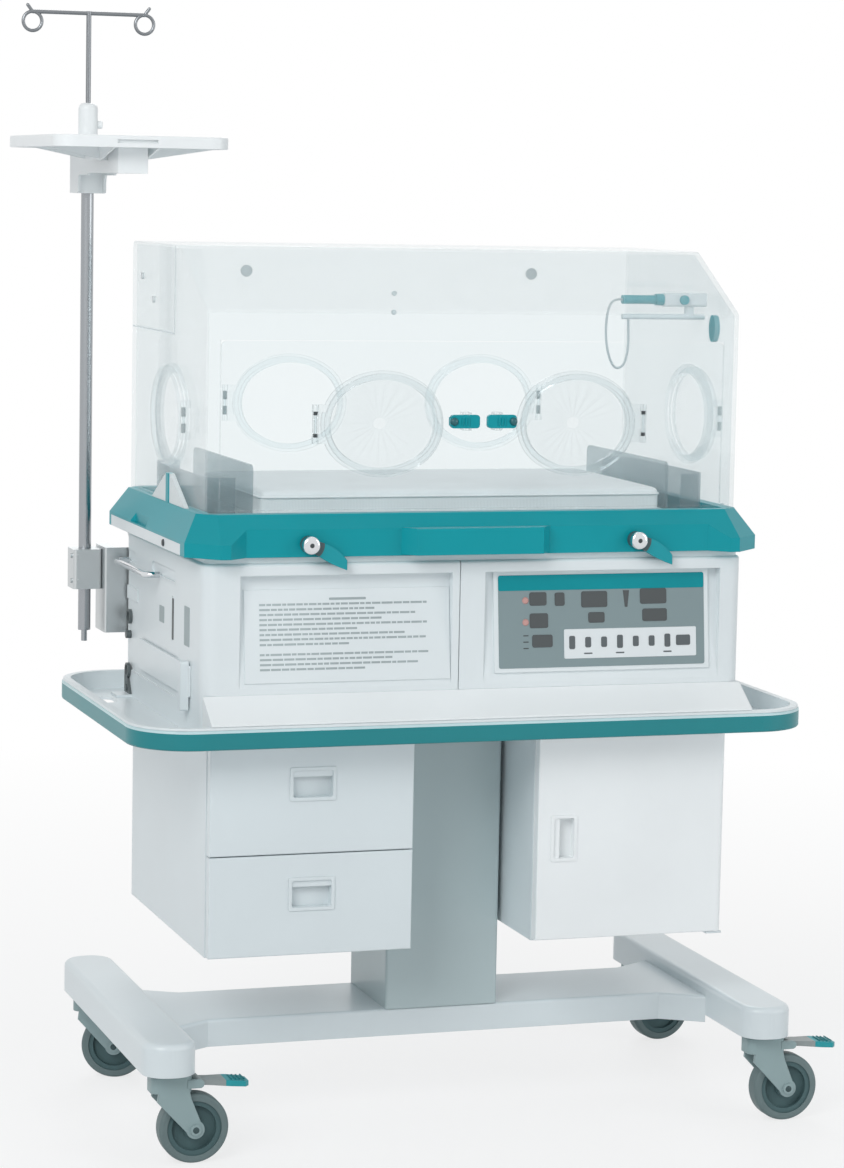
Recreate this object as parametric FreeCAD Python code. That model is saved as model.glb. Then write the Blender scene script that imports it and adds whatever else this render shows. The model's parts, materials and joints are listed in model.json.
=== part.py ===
"""An infant incubator on its wheeled stand.

Frame: millimetres, X to the user's right, Y to the back, Z up. The origin is on the floor,
under the middle of the four caster swivels. The front, with the hand ports, faces -Y.
"""
import FreeCAD
import Part
import math
import os
from FreeCAD import Vector

# Casters and base
caster_x = 451.0              # swivel axes, left and right of the middle
caster_y = 243.0              # swivel axes, front and back
wheel_radius = 50.0
wheel_width = 27.0
tyre_depth = 11.0
wheel_web = 9.0
wheel_hub_radius = 15.0
axle_radius = 4.0
trail = 38.0                  # wheel axle behind the swivel axis
fork_plate = 5.5
fork_side_gap = 1.2
wheel_gap = 4.0               # wheel to the underside of the fork bridge
fork_bridge = 23.5
fork_reach = 34.0             # bridge length ahead of the swivel axis
fork_back = 25.0              # and behind it
fork_boss = 13.0
stem_radius = 6.0
stem_head = 9.0
stem_head_height = 4.0
stem_plate_radius = 23.0
stem_plate = 4.2
pedal_pivot_x = 44.0
pedal_pivot_drop = 12.0       # pedal pin below the top of the fork
pedal_hub = 6.0
pedal_pin = 2.5
pedal_length = 72.0           # pin to the tip
pedal_width = 27.0
pedal_tip_width = 36.0
pedal_thickness = 7.0
leg_width = 76.0
leg_length = 572.0
leg_height = 47.0
leg_edge = 9.0
leg_wall = 10.0               # the feet are castings, open below
beam_depth = 176.0
beam_height = 40.0
beam_drop = 18.0              # beam top below the leg tops
beam_flare = 36.0
beam_flare_length = 62.0
column_shift = 4.0            # the column stands a little right of the middle
column_width = 173.0
column_depth = 178.0
column_wall = 3.0
column_height = 429.0

# Tray and cabinets
tray_length = 1010.0
tray_width = 582.0
tray_corner = 86.0
bumper_height = 28.0
bumper_thick = 8.0
pan_wall = 5.0
pan_floor = 4.0
pan_lip = 3.5
hose_slot_length = 56.0
hose_slot_width = 26.0
cabinet_reach = 390.0         # outer sides, from the middle
cabinet_gap = 7.0             # cabinets to the column
cabinet_front = -228.5        # outer face of the drawers and the door
cabinet_back = 234.0
cabinet_height = 308.0
cabinet_wall = 2.5
front_thick = 18.0            # drawer fronts and the door
front_gap = 1.5
front_edge = 2.0
lower_front_height = 146.0
pull_width = 58.0
pull_height = 38.0
pull_depth = 12.0
pull_frame = 5.0
pull_proud = 1.6
pull_lip = 9.0
drawer_side_gap = 12.5
drawer_wall = 2.5
drawer_depth = 405.0
drawer_bottom_gap = 13.0
drawer_box_share = 0.76       # box height against its front
runner_ledge = 9.0
runner_plate = 2.5
rest_gap = 0.3                # between pieces that rest or slide on each other
pivot_plate = 3.0
pivot_pin = 3.0
shelf_board = 3.0

# Housing
housing_reach = 404.0
housing_front = -235.0
housing_back = 233.0
housing_height = 247.0
housing_wall = 4.0
housing_corner = 20.0
brow_height = 184.0           # front panels, above the sloped ledge
ledge_back = 6.0              # the ledge's foot, behind the tray's outer edge
ledge_wall = 3.0
split_x = -29.0               # joint between the two front panels
split_gap = 1.2
module_depth = 84.0
panel_lean = 17.0             # how far the sloped panels lie back at their top
plate_thick = 1.6
fascia_thick = 3.0
plate_left = -343.0
plate_right = -42.0
plate_low = 16.0
plate_high = 146.0
fascia_left = 24.0
fascia_right = 354.0
fascia_low = 22.0
fascia_high = 166.0
side_recess = 2.0
side_recess_front = -92.0
side_recess_low = 40.0
side_recess_high = 202.0
reservoir_front = -136.0      # its long side runs from front to back
reservoir_back = 126.0
reservoir_low = 56.0
reservoir_high = 92.0
reservoir_reach = 200.0
reservoir_wall = 2.5
reservoir_face = 3.0
handle_width = 15.0
handle_height = 70.0
handle_proud = 11.0
socket_radius = 11.0
socket_wall = 3.0
socket_proud = 5.0
socket_inset = 30.0           # in from the housing's back
socket_low = 39.0
socket_high = 120.0
vent_knob_radius = 6.0
vent_knob_proud = 8.0
vent_knob_height = 93.0
side_plate_length = 66.0
side_plate_height = 20.0
side_plate_thick = 1.5
side_plate_inset = 9.0
side_plate_low = 146.0
angle_length = 38.0
angle_height = 40.0
angle_inset = 12.0
angle_foot = 24.0
angle_wall = 3.5
angle_screw = 5.0
rail_radius = 4.5
rail_stand_off = 20.0
rail_front = 20.0
rail_back = 212.0
rail_height = 204.0
deck_thick = 8.5

# Bed
bed_pivot_height = 15.0       # tilt shaft above the deck
tilt_shaft_radius = 5.0
bushing_radius = 9.0
bushing_length = 16.0
bushing_y = 130.0
lug_thick = 8.0
bed_reach = 312.0
bed_front = -168.0
bed_back = 186.0
bed_gap = 29.0                # tray underside above the deck
bed_tray_height = 24.0
bed_wall = 3.0
mattress_height = 57.0
mattress_inset = 5.0
end_wall_thick = 5.0
end_wall_high = 69.0          # above the rim of the bed tray
end_wall_front = -152.0
end_wall_back = 170.0
baffle_inner = 338.0
baffle_outer = 380.0
baffle_wall = 3.0
baffle_height = 104.0
baffle_corner = 34.0
clip_width = 14.0
ring_radius = 8.0
bail_wire = 1.6
handle_stand_off = 5.0
ring_x = -104.0
clip_left = -38.0
clip_right = 14.0
bail_left = 22.0
bail_length = 106.0

# Canopy
frame_gap = 0.5               # canopy frame above the deck
frame_reach = 428.0
frame_front = -262.0
frame_back = 283.0
frame_chamfer = 42.0
frame_skirt = 20.0            # upright lower part
frame_height = 58.0
frame_top_reach = 405.0
frame_top_front = -217.0
frame_top_back = 241.0
frame_open_reach = 386.0
frame_open_front = -198.0
frame_open_back = 222.0
band_depth = 22.0             # front band behind the corner blocks
band_reach = 345.0
band_ramp = 27.0
grip_centre = -9.0
grip_half = 94.0
grip_ramp = 17.0
grip_height = 40.0
grip_wall = 5.0
side_notch_front = 14.0
side_notch_back = 95.0
side_notch_depth = 7.0
strip_thick = 2.0
strip_height = 16.0
strip_end = 24.0
hood_reach = 397.0
hood_front = -209.0
hood_back = 233.0
hood_height = 368.0
hood_wall = 5.0
hood_bend = 12.0
slope_start = -50.0           # where the lid turns down to the front
slope_drop = 86.0
panel_reach = 375.0
panel_low = 6.5               # panel hinge line above the canopy frame
panel_height = 234.0
panel_gap = 1.0
panel_pin = 1.4
panel_pin_length = 6.0
port_half_width = 90.0
port_half_height = 75.0
port_end_radius = 68.0
port_rim = 13.0
port_ring_thick = 5.0
port_door_thick = 3.0
port_door_rim = 8.0
port_door_inset = 4.0
port_height = 125.0           # port centres above the canopy frame
port_front_left = -142.0
port_front_right = 148.0
port_rear_left = -150.0
port_rear_right = 157.0
port_end = -25.0
port_hinge_offset = 10.0
barrel_radius = 4.5
barrel_half = 17.0
barrel_ear = 10.0
barrel_pin = 2.0
latch_length = 43.0
latch_height = 19.0
latch_thick = 7.0
latch_pin = 1.5
latch_hub = 4.0
latch_lift = 16.0             # latch pin out from the panel
lock_left = -256.0
lock_right = 232.0
lock_height = 18.0
lock_knob = 12.0
lock_boss = 15.0
lock_lever = 60.0
lock_width = 12.0
hinge_x = 378.0
hinge_y = 262.0
hinge_drop = 8.0              # canopy hinge line below the canopy frame
hinge_pin = 4.0
hinge_cheek = 11.0
hinge_ear = 12.0
hinge_nose = 7.0
hinge_plate = 5.0

# Sensor module inside the hood
module_y = -90.0
module_drop = 70.0            # below the top of the hood
module_length = 66.0
module_size = 20.0
plug_length = 64.0
plug_radius = 6.5
lower_bar_drop = 25.0
lower_bar_radius = 4.0
lead_radius = 1.75
knob_half_long = 20.0
knob_half_short = 12.0
knob_end_radius = 8.0
knob_thick = 9.0
knob_y = -110.0
knob_height = 257.0

# Pole, shelf and drip rod
pole_x = -458.0
pole_y = 275.0
pole_radius = 9.5
pole_wall = 1.8
pole_length = 778.0
pole_tip_radius = 4.5
pole_tip = 17.0
clamp_height = 60.0
clamp_width = 44.0
clamp_depth = 46.0
clamp_screw = 3.6
bracket_height = 129.0
bracket_drop = 26.0           # below the top of the housing
bracket_inner = -322.0
bracket_thick = 6.0
arm_width = 43.0
arm_length = 295.0            # forward of the pole
arm_height = 36.0
arm_wall = 4.0
hub_height = 66.0
hub_depth = 50.0
arch_reach = 76.0
shelf_shift = 10.0            # shelf middle, right of the pole
shelf_width = 254.0
shelf_front = -50.0
shelf_back = 305.0
shelf_thick = 17.0
shelf_corner = 28.0
shelf_rim = 7.0
shelf_dish = 3.0
rib_depth = 18.0
rib_thick = 3.5
rib_spread = 96.0
grip_slot_width = 58.0
grip_slot_height = 5.0
collar_grip = 32.0            # collar below and above the top of the pole
collar_cap = 15.0
collar_gap = 4.0              # collar above the shelf
collar_radius = 14.5
rod_radius = 3.8
rod_depth = 332.0             # thin rod inside the pole
rod_rise = 150.0              # and above it
cross_radius = 3.0
hook_reach = 85.0
hook_radius = 14.0
hook_wire = 2.6
hook_tail = 12.0

# Fits
running = 0.05
pin_clear = 0.06

# Heights that follow from the sizes above
fork_bottom = 2 * wheel_radius + wheel_gap
fork_top = fork_bottom + fork_bridge
leg_bottom = fork_top + rest_gap + stem_plate
leg_top = leg_bottom + leg_height
beam_top = leg_top - beam_drop
tray_bottom = beam_top + column_height
housing_low = tray_bottom + pan_floor
housing_top = housing_low + housing_height
brow_low = housing_top - brow_height
deck_top = housing_top + deck_thick
frame_low = deck_top + frame_gap
frame_top = frame_low + frame_height
hood_top = frame_top + hood_height
column_left = column_shift - column_width / 2
column_right = column_shift + column_width / 2
cabinet_low = tray_bottom - cabinet_height
shell_front = cabinet_front + front_thick + rest_gap
bed_low = deck_top + bed_gap
bed_rim = bed_low + bed_tray_height
bracket_high = housing_top - bracket_drop
bracket_low = bracket_high - bracket_height
clamp_low = bracket_high - clamp_height - pole_tip_radius
pole_low = bracket_low
pole_high = pole_low + pole_length
collar_low = pole_high - collar_grip
collar_high = pole_high + collar_cap
arm_top = collar_low - collar_gap - shelf_thick
hub_low = arm_top - hub_height
rod_low = pole_high - rod_depth
rod_top = pole_high + rod_rise
port_z = frame_top + port_height

HEADINGS = {"front_left": 0.0, "front_right": 0.0, "rear_left": -18.0, "rear_right": 6.0}
CORNERS = {"front_left": (-1, -1), "front_right": (1, -1), "rear_left": (-1, 1), "rear_right": (1, 1)}


def block(x0, x1, y0, y1, z0, z1):
    """A plain box between two corners."""
    return Part.makeBox(x1 - x0, y1 - y0, z1 - z0, Vector(x0, y0, z0))


def rod(start, axis, radius, length):
    """A round bar from a point along an axis."""
    return Part.makeCylinder(radius, length, Vector(*start), Vector(*axis))


def outline(points):
    """A flat face from its corner points."""
    corners = [Vector(*p) for p in points]
    return Part.Face(Part.makePolygon(corners + corners[:1]))


def plan(points, z0, z1):
    """A prism over a plan outline given as (x, y) points."""
    return outline([(x, y, z0) for x, y in points]).extrude(Vector(0, 0, z1 - z0))


def side(points, x0, x1):
    """A prism whose section is given as (y, z) points."""
    return outline([(x0, y, z) for y, z in points]).extrude(Vector(x1 - x0, 0, 0))


def front(points, y0, y1):
    """A prism whose section is given as (x, z) points."""
    return outline([(x, y0, z) for x, z in points]).extrude(Vector(0, y1 - y0, 0))


def round_edges(shape, radius, wanted):
    """Fillet the edges that the test picks."""
    edges = [e for e in shape.Edges if wanted(e)]
    return shape.makeFillet(radius, edges) if edges else shape


def along(axis):
    """A test for straight edges that run along one axis."""
    def wanted(edge):
        a, b = edge.Vertexes[0].Point, edge.Vertexes[-1].Point
        step = b - a
        return step.Length > 1e-6 and abs(abs(step.normalize().dot(Vector(*axis))) - 1) < 1e-6
    return wanted


def at_height(z):
    """A test for edges that lie at one height."""
    return lambda edge: abs(edge.BoundBox.ZMin - z) < 1e-3 and abs(edge.BoundBox.ZMax - z) < 1e-3


def upright_block(x0, x1, y0, y1, z0, z1, radius):
    """A box with rounded upright corners."""
    return round_edges(block(x0, x1, y0, y1, z0, z1), radius, along((0, 0, 1)))


def oval(centre, long_way, short_way, half_long, half_short, end_radius, step):
    """An oval disc of four tangent arcs, pushed out along a step."""
    shift = half_long - end_radius
    side_radius = (shift ** 2 + half_short ** 2 - end_radius ** 2) / (2 * (half_short - end_radius))
    lift = side_radius - half_short
    middle = Vector(*centre)

    def point(along_long, along_short):
        return middle + long_way * along_long + short_way * along_short
    ux, uz = shift / (side_radius - end_radius), lift / (side_radius - end_radius)
    tx, tz = shift + end_radius * ux, end_radius * uz
    arcs = [Part.Arc(point(tx, -tz), point(half_long, 0), point(tx, tz)),
            Part.Arc(point(tx, tz), point(0, half_short), point(-tx, tz)),
            Part.Arc(point(-tx, tz), point(-half_long, 0), point(-tx, -tz)),
            Part.Arc(point(-tx, -tz), point(0, -half_short), point(tx, -tz))]
    return Part.Face(Part.Wire([arc.toShape() for arc in arcs])).extrude(step)


def fuse(shapes):
    """Join shapes into one clean solid."""
    whole = shapes[0].multiFuse(shapes[1:]) if len(shapes) > 1 else shapes[0]
    return whole.removeSplitter()


def cut(shape, *tools):
    """Take the tools out of the shape."""
    for tool in tools:
        shape = shape.cut(tool)
    return shape


def mirrored_x(shape):
    """The same piece on the other side of the middle."""
    return shape.mirror(Vector(0, 0, 0), Vector(1, 0, 0))


# Casters

def placed_caster(shape, corner):
    """Turn a caster piece to its heading and set it under its corner."""
    sx, sy = CORNERS[corner]
    turned = shape.copy()
    turned.rotate(Vector(0, 0, 0), Vector(0, 0, 1), HEADINGS[corner])
    turned.translate(Vector(sx * caster_x, sy * caster_y, 0))
    return turned


def caster_fork(with_pedal):
    """Swivel fork: a bridge over the wheel, two tapered cheeks and the axle bolt."""
    inner = wheel_width / 2 + fork_side_gap
    outer = inner + fork_plate
    bridge = block(-fork_back, fork_reach, -outer, outer, fork_bottom, fork_top)
    bridge = round_edges(bridge, 0.6 * outer, along((0, 0, 1)))
    bridge = round_edges(bridge, 3.0, at_height(fork_top))
    pieces = [bridge]
    for y0 in (-outer, inner):
        boss = rod((trail, y0, wheel_radius), (0, 1, 0), fork_boss, fork_plate)
        cheek = front([(-fork_back + 10, fork_bottom + 6), (-fork_back + 8, fork_bottom - 12),
                       (trail - fork_boss, wheel_radius - 3), (trail + fork_boss, wheel_radius - 3),
                       (fork_reach - 2, fork_bottom - 10), (fork_reach - 6, fork_bottom + 6)],
                      y0, y0 + fork_plate)
        pieces += [boss, cheek]
    bolt = 3.0
    pieces.append(rod((trail, -outer - bolt, wheel_radius), (0, 1, 0), axle_radius, 2 * (outer + bolt)))
    for y0 in (-outer - bolt, outer):
        pieces.append(rod((trail, y0, wheel_radius), (0, 1, 0), 2 * axle_radius, bolt))
    if with_pedal:
        pivot_z = fork_top - pedal_pivot_drop
        for y0 in (-outer, inner):
            ear = block(fork_reach - 8, pedal_pivot_x, y0, y0 + fork_plate,
                        pivot_z - pedal_hub, pivot_z + pedal_hub)
            tip = rod((pedal_pivot_x, y0, pivot_z), (0, 1, 0), pedal_hub, fork_plate)
            pieces += [ear, tip]
        pieces.append(rod((pedal_pivot_x, -outer, pivot_z), (0, 1, 0), pedal_pin, 2 * outer))
    body = fuse(pieces)
    bore = rod((0, 0, fork_bottom - 1), (0, 0, 1), stem_radius + pin_clear, fork_bridge + 2)
    pocket = rod((0, 0, fork_bottom - 1), (0, 0, 1), stem_head + 1,
                 1 + stem_head_height + 2 * rest_gap)
    return cut(body, bore, pocket)


def caster_wheel():
    """A wheel about the Y axis: webbed core and a tyre with round shoulders."""
    half = wheel_width / 2
    core_radius = wheel_radius - tyre_depth
    rim = 7.0
    section = [(axle_radius + running, -half), (wheel_hub_radius, -half), (wheel_hub_radius, -wheel_web / 2),
               (core_radius - rim, -wheel_web / 2), (core_radius - rim, -half + 2), (core_radius, -half + 2),
               (core_radius, half - 2), (core_radius - rim, half - 2), (core_radius - rim, wheel_web / 2),
               (wheel_hub_radius, wheel_web / 2), (wheel_hub_radius, half), (axle_radius + running, half)]
    core = outline([(r, y, 0) for r, y in section])
    core = core.revolve(Vector(0, 0, 0), Vector(0, 1, 0), 360)
    tyre = rod((0, -half, 0), (0, 1, 0), wheel_radius, wheel_width)
    tyre = round_edges(tyre, 5.0, lambda e: e.Closed and e.BoundBox.ZMax > wheel_radius - 1)
    tyre = tyre.cut(rod((0, -half - 1, 0), (0, 1, 0), core_radius, wheel_width + 2))
    wheel = Part.makeCompound([core, tyre])
    wheel.translate(Vector(trail, 0, wheel_radius))
    return wheel


def brake_pedal():
    """Foot pedal on a front caster: hub, arm and a broad tip."""
    pivot_z = fork_top - pedal_pivot_drop
    half = wheel_width / 2 + fork_side_gap - rest_gap
    hub = rod((pedal_pivot_x, -half, pivot_z), (0, 1, 0), pedal_hub, 2 * half)
    far = pedal_pivot_x + pedal_length
    narrow, broad = pedal_width / 2, pedal_tip_width / 2
    start = pedal_pivot_x + pedal_hub + 3
    shape = [(pedal_pivot_x, -half + 1), (start, -half + 1), (start + 8, -narrow), (far - 26, -broad),
             (far - 6, -broad), (far, -broad + 7), (far, broad - 7), (far - 6, broad),
             (far - 26, broad), (start + 8, narrow), (start, half - 1), (pedal_pivot_x, half - 1)]
    arm = plan(shape, pivot_z - pedal_thickness - 6, pivot_z + pedal_thickness)
    profile = front([(pedal_pivot_x, pivot_z + 4), (pedal_pivot_x, pivot_z - 3), (far, pivot_z - 9),
                     (far, pivot_z - 9 + pedal_thickness), (far - 30, pivot_z - 5 + pedal_thickness)],
                    -pedal_tip_width, pedal_tip_width)
    ribs = [block(far - 22 + 6 * i, far - 19 + 6 * i, -broad + 4, broad - 4,
                  pivot_z - 6, pivot_z + 1 - i * 0.6) for i in range(3)]
    arm = arm.common(profile)
    body = fuse([hub, arm] + ribs)
    return body.cut(rod((pedal_pivot_x, -half - 1, pivot_z), (0, 1, 0), pedal_pin + pin_clear, 2 * half + 2))


def caster_stems():
    """The four swivel stems, each a plate under the leg with a headed pin."""
    stems = []
    for sx, sy in CORNERS.values():
        x, y = sx * caster_x, sy * caster_y
        low = fork_bottom + rest_gap
        plate = rod((x, y, leg_bottom - stem_plate), (0, 0, 1), stem_plate_radius, stem_plate)
        pin = rod((x, y, low), (0, 0, 1), stem_radius, leg_bottom - low)
        head = rod((x, y, low), (0, 0, 1), stem_head, stem_head_height)
        stems.append(fuse([plate, pin, head]))
    return Part.makeCompound(stems)


# Stand

def leg(sign):
    """A foot bar from front to back with round ends and soft upper edges."""
    x0 = sign * caster_x - leg_width / 2
    half = leg_length / 2
    bar = block(x0, x0 + leg_width, -half, half, leg_bottom, leg_top)
    bar = round_edges(bar, 0.46 * leg_width, along((0, 0, 1)))
    bar = round_edges(bar, leg_edge, at_height(leg_top))
    pocket = caster_y - stem_plate_radius - leg_wall
    return bar.cut(block(x0 + leg_wall, x0 + leg_width - leg_wall, -pocket, pocket,
                         leg_bottom - 1, leg_top - leg_wall))


def cross_beam():
    """The beam between the feet, flared where it meets them."""
    inner = caster_x - leg_width / 2
    half = beam_depth / 2
    wide = half + beam_flare
    near = inner - beam_flare_length
    points = [(-inner, -wide), (-near, -half), (near, -half), (inner, -wide),
              (inner, wide), (near, half), (-near, half), (-inner, wide)]
    beam = plan(points, beam_top - beam_height, beam_top)
    beam = round_edges(beam, 5.0, lambda e: at_height(beam_top)(e) and not along((0, 1, 0))(e))
    hollow = block(-inner + 20, inner - 20, -half + 12, half - 12,
                   beam_top - beam_height - 1, beam_top - 5)
    return beam.cut(hollow)


def column():
    """The square column between the beam and the tray."""
    half = column_depth / 2
    tube = upright_block(column_left, column_right, -half, half, beam_top, tray_bottom, 4.0)
    w = column_wall
    return tube.cut(block(column_left + w, column_right - w, -half + w, half - w,
                          beam_top + w, tray_bottom - w))


def pull_cut(x0, x1, z0, z1):
    """The finger pocket of a pull."""
    pocket = block(x0, x1, cabinet_front - pull_proud - 1, cabinet_front + pull_depth, z0, z1)
    return round_edges(pocket, 3.0, along((0, 1, 0)))


def pull_rim(x0, x1, z0, z1):
    """The frame that stands round a pull."""
    f = pull_frame
    rim = block(x0 - f, x1 + f, cabinet_front - pull_proud, cabinet_front + 1, z0 - f, z1 + f)
    return round_edges(rim, 3.0, along((0, 1, 0)))


def drawer(z0, z1, x0, x1, wall_left, wall_right):
    """A drawer: front with its pull, and an open box behind it."""
    face = block(x0, x1, cabinet_front, cabinet_front + front_thick, z0, z1)
    face = round_edges(face, front_edge, lambda e: abs(e.BoundBox.YMax - cabinet_front) < 1e-3)
    middle = (x0 + x1) / 2
    pull_top = z1 - 0.26 * (z1 - z0)
    px0, px1 = middle - pull_width / 2, middle + pull_width / 2
    pz0, pz1 = pull_top - pull_height, pull_top
    lip = block(px0, px1, cabinet_front + 1, cabinet_front + 4, pz1 - pull_lip, pz1)
    face = fuse([face, pull_rim(px0, px1, pz0, pz1)])
    face = face.cut(pull_cut(px0, px1, pz0, pz1))
    bx0, bx1 = wall_left + drawer_side_gap, wall_right - drawer_side_gap
    bz0 = z0 + drawer_bottom_gap
    bz1 = bz0 + drawer_box_share * (z1 - z0)
    y0 = cabinet_front + front_thick
    w = drawer_wall
    box = block(bx0, bx1, y0, y0 + drawer_depth, bz0, bz1)
    box = box.cut(block(bx0 + w, bx1 - w, y0 + w, y0 + drawer_depth - w, bz0 + w, bz1 + 1))
    return fuse([face, lip, box]), bz0


def cabinet_shell(x0, x1):
    """A sheet metal case, open at the front."""
    w = cabinet_wall
    case = block(x0, x1, shell_front, cabinet_back, cabinet_low, tray_bottom)
    return case.cut(block(x0 + w, x1 - w, shell_front - 1, cabinet_back - w,
                          cabinet_low + w, tray_bottom - w))


def tray_ring(inset, z0, z1):
    """A slab of the tray's plan, set in from its outer edge."""
    return upright_block(-tray_length / 2 + inset, tray_length / 2 - inset, -tray_width / 2 + inset,
                         tray_width / 2 - inset, z0, z1, tray_corner - inset)


def tray_pan():
    """The white tray: floor, upright wall and a lip that covers the bumper."""
    top = tray_bottom + bumper_height + pan_lip
    body = tray_ring(bumper_thick, tray_bottom, top)
    lip = tray_ring(1.5, tray_bottom + bumper_height, top)
    lip = round_edges(lip, 1.5, at_height(top))
    pan = fuse([body, lip]).cut(tray_ring(bumper_thick + pan_wall, housing_low, top + 1))
    slot_x = (housing_reach + tray_length / 2 - bumper_thick - pan_wall) / 2
    for sign in (-1, 1):
        slot = upright_block(sign * slot_x - hose_slot_width / 2, sign * slot_x + hose_slot_width / 2,
                             cabinet_back - 40 - hose_slot_length, cabinet_back - 40,
                             tray_bottom - 1, housing_low + 1, 0.45 * hose_slot_width)
        pan = pan.cut(slot)
    return pan


def tray_bumper():
    """The coloured band that runs round the tray."""
    band = tray_ring(0.0, tray_bottom, tray_bottom + bumper_height)
    band = round_edges(band, 3.0, lambda e: at_height(tray_bottom)(e) or at_height(tray_bottom + bumper_height)(e))
    return band.cut(tray_ring(bumper_thick, tray_bottom - 1, tray_bottom + bumper_height + 1))


# Housing

def leaning_plane(x0, x1, z0, z1, depth):
    """A wedge that is deepest at its top; its back is the leaning panel."""
    y = housing_front
    return side([(y - 1, z0), (y, z0), (y + depth, z1), (y - 1, z1)], x0, x1)


def leaning_plate(x0, x1, z0, z1, low, high, thick):
    """A plate that lies on a leaning panel, between two heights on it."""
    slope = panel_lean / (z1 - z0)
    y_low = housing_front + (low - z0) * slope
    y_high = housing_front + (high - z0) * slope
    return side([(y_low - thick, low), (y_low, low), (y_high, high), (y_high - thick, high)], x0, x1)


panel_z0 = brow_low + 8.0
panel_z1 = housing_top - 17.0


def housing_block():
    """The outer form of the housing."""
    form = block(-housing_reach, housing_reach, housing_front, housing_back, housing_low, housing_top)
    form = round_edges(form, housing_corner, along((0, 0, 1)))
    return round_edges(form, 5.0, at_height(housing_top))


def module_space(grow):
    """The space in the housing's front that the control module fills."""
    return block(split_x - grow, housing_reach + 1, housing_front - 1,
                 housing_front + module_depth + grow, brow_low - grow, housing_top + 1)


def reservoir_bay(grow):
    """The bay that the water reservoir slides in."""
    return block(-housing_reach - 1, -housing_reach + reservoir_reach + grow,
                 reservoir_front - grow, reservoir_back + grow,
                 housing_low + reservoir_low - grow, housing_low + reservoir_high + grow)


def housing():
    """The white case: walls, the sunk left panel, side sockets and the reservoir bay."""
    w = housing_wall
    hollow = block(-housing_reach + w, housing_reach - w, housing_front + w + panel_lean, housing_back - w,
                   housing_low + w, housing_top - w)
    shell = housing_block().cut(hollow)
    bay = reservoir_bay(w).common(block(-housing_reach, 0, housing_front, housing_back, housing_low, housing_top))
    shell = fuse([shell, bay])
    case = block(split_x - w, housing_reach - 1, housing_front + w, housing_front + module_depth + w,
                 brow_low - w, housing_top - 1)
    shell = fuse([shell, case])
    shell = cut(shell, module_space(0.0).common(block(split_x - split_gap, 999, -999, 999, 0, 2000)),
                reservoir_bay(rest_gap))
    shell = shell.cut(block(split_x - split_gap, split_x, housing_front - 1, housing_front + 6,
                            brow_low, housing_top + 1))
    shell = shell.cut(leaning_plane(plate_left - 8, split_x - 12, panel_z0, panel_z1, panel_lean))
    recess = block(-housing_reach - 1, -housing_reach + side_recess, side_recess_front, housing_back + 1,
                   housing_low + side_recess_low, housing_low + side_recess_high)
    shell = shell.cut(round_edges(recess, 14.0, along((1, 0, 0))))
    for y0, y1 in ((-78.0, 66.0), (165.0, 222.0)):
        scoop = block(-housing_reach - 1, -housing_reach + w - 1, y0, y1,
                      housing_top - 43, housing_top - 27)
        shell = shell.cut(round_edges(scoop, 7.0, along((1, 0, 0))))
    slot = block(-housing_reach - 1, -housing_reach + w - 0.5, -55.0, -49.0,
                 housing_low + 117, housing_low + 182)
    return shell.cut(round_edges(slot, 2.4, along((1, 0, 0))))


def control_module():
    """The electronics drawer at the right of the front, with its leaning panel."""
    body = housing_block().common(module_space(0.0))
    return body.cut(leaning_plane(fascia_left - 16, fascia_right + 14, panel_z0, panel_z1, panel_lean))


def front_ledge():
    """The sloped cover from the front panels down over the front edge of the tray."""
    tray_top = tray_bottom + bumper_height + pan_lip
    inside_tray = -tray_width / 2 + bumper_thick + pan_wall + 2
    y0 = -tray_width / 2 + ledge_back
    foot = tray_top + rest_gap
    w = ledge_wall
    skin = side([(housing_front, brow_low), (y0, foot + w), (y0, foot), (inside_tray, foot),
                 (inside_tray, housing_low), (housing_front, housing_low)], -housing_reach + 1, housing_reach - 1)
    slope = (brow_low - foot - w) / (housing_front - y0)
    inner = inside_tray + w
    inside = side([(housing_front + 1, brow_low - 2 * w), (housing_front, brow_low - 2 * w),
                   (inner, foot + w + slope * (inner - y0) - 2 * w), (inner, housing_low - 1),
                   (housing_front + 1, housing_low - 1)], -housing_reach + 1 + w, housing_reach - 1 - w)
    return skin.cut(inside)


def side_fittings():
    """Sockets, a knob and a bolted angle on the left side of the housing."""
    face = -housing_reach + side_recess
    items = []
    y = housing_back - socket_inset
    for z in (socket_low, socket_high):
        start = face if z > side_recess_low else -housing_reach
        body = rod((start, y, housing_low + z), (-1, 0, 0), socket_radius, socket_proud)
        items.append(body.cut(rod((start - 0.3 * socket_proud, y, housing_low + z), (-1, 0, 0),
                                  socket_radius - socket_wall, socket_proud)))
    items.append(rod((face, y, housing_low + vent_knob_height), (-1, 0, 0), vent_knob_radius, vent_knob_proud))
    low = housing_low + side_plate_low
    items.append(block(face - side_plate_thick, face, housing_back - side_plate_inset - side_plate_length,
                       housing_back - side_plate_inset, low, low + side_plate_height))
    y1 = housing_back - angle_inset
    y0 = y1 - angle_length
    w = angle_wall
    angle = side([(y0, housing_low), (y1, housing_low), (y1, housing_low + 0.85 * angle_height),
                  (y1 - 0.3 * angle_length, housing_low + angle_height)], -housing_reach - w, -housing_reach)
    foot = block(-housing_reach - angle_foot, -housing_reach, y0, y1, housing_low, housing_low + w)
    screw = rod((-housing_reach - 1.6 * w, y1 - 0.4 * angle_length, housing_low + 0.3 * angle_height), (1, 0, 0),
                angle_screw, w)
    items.append(fuse([angle, foot, screw]))
    return Part.makeCompound(items)


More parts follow.
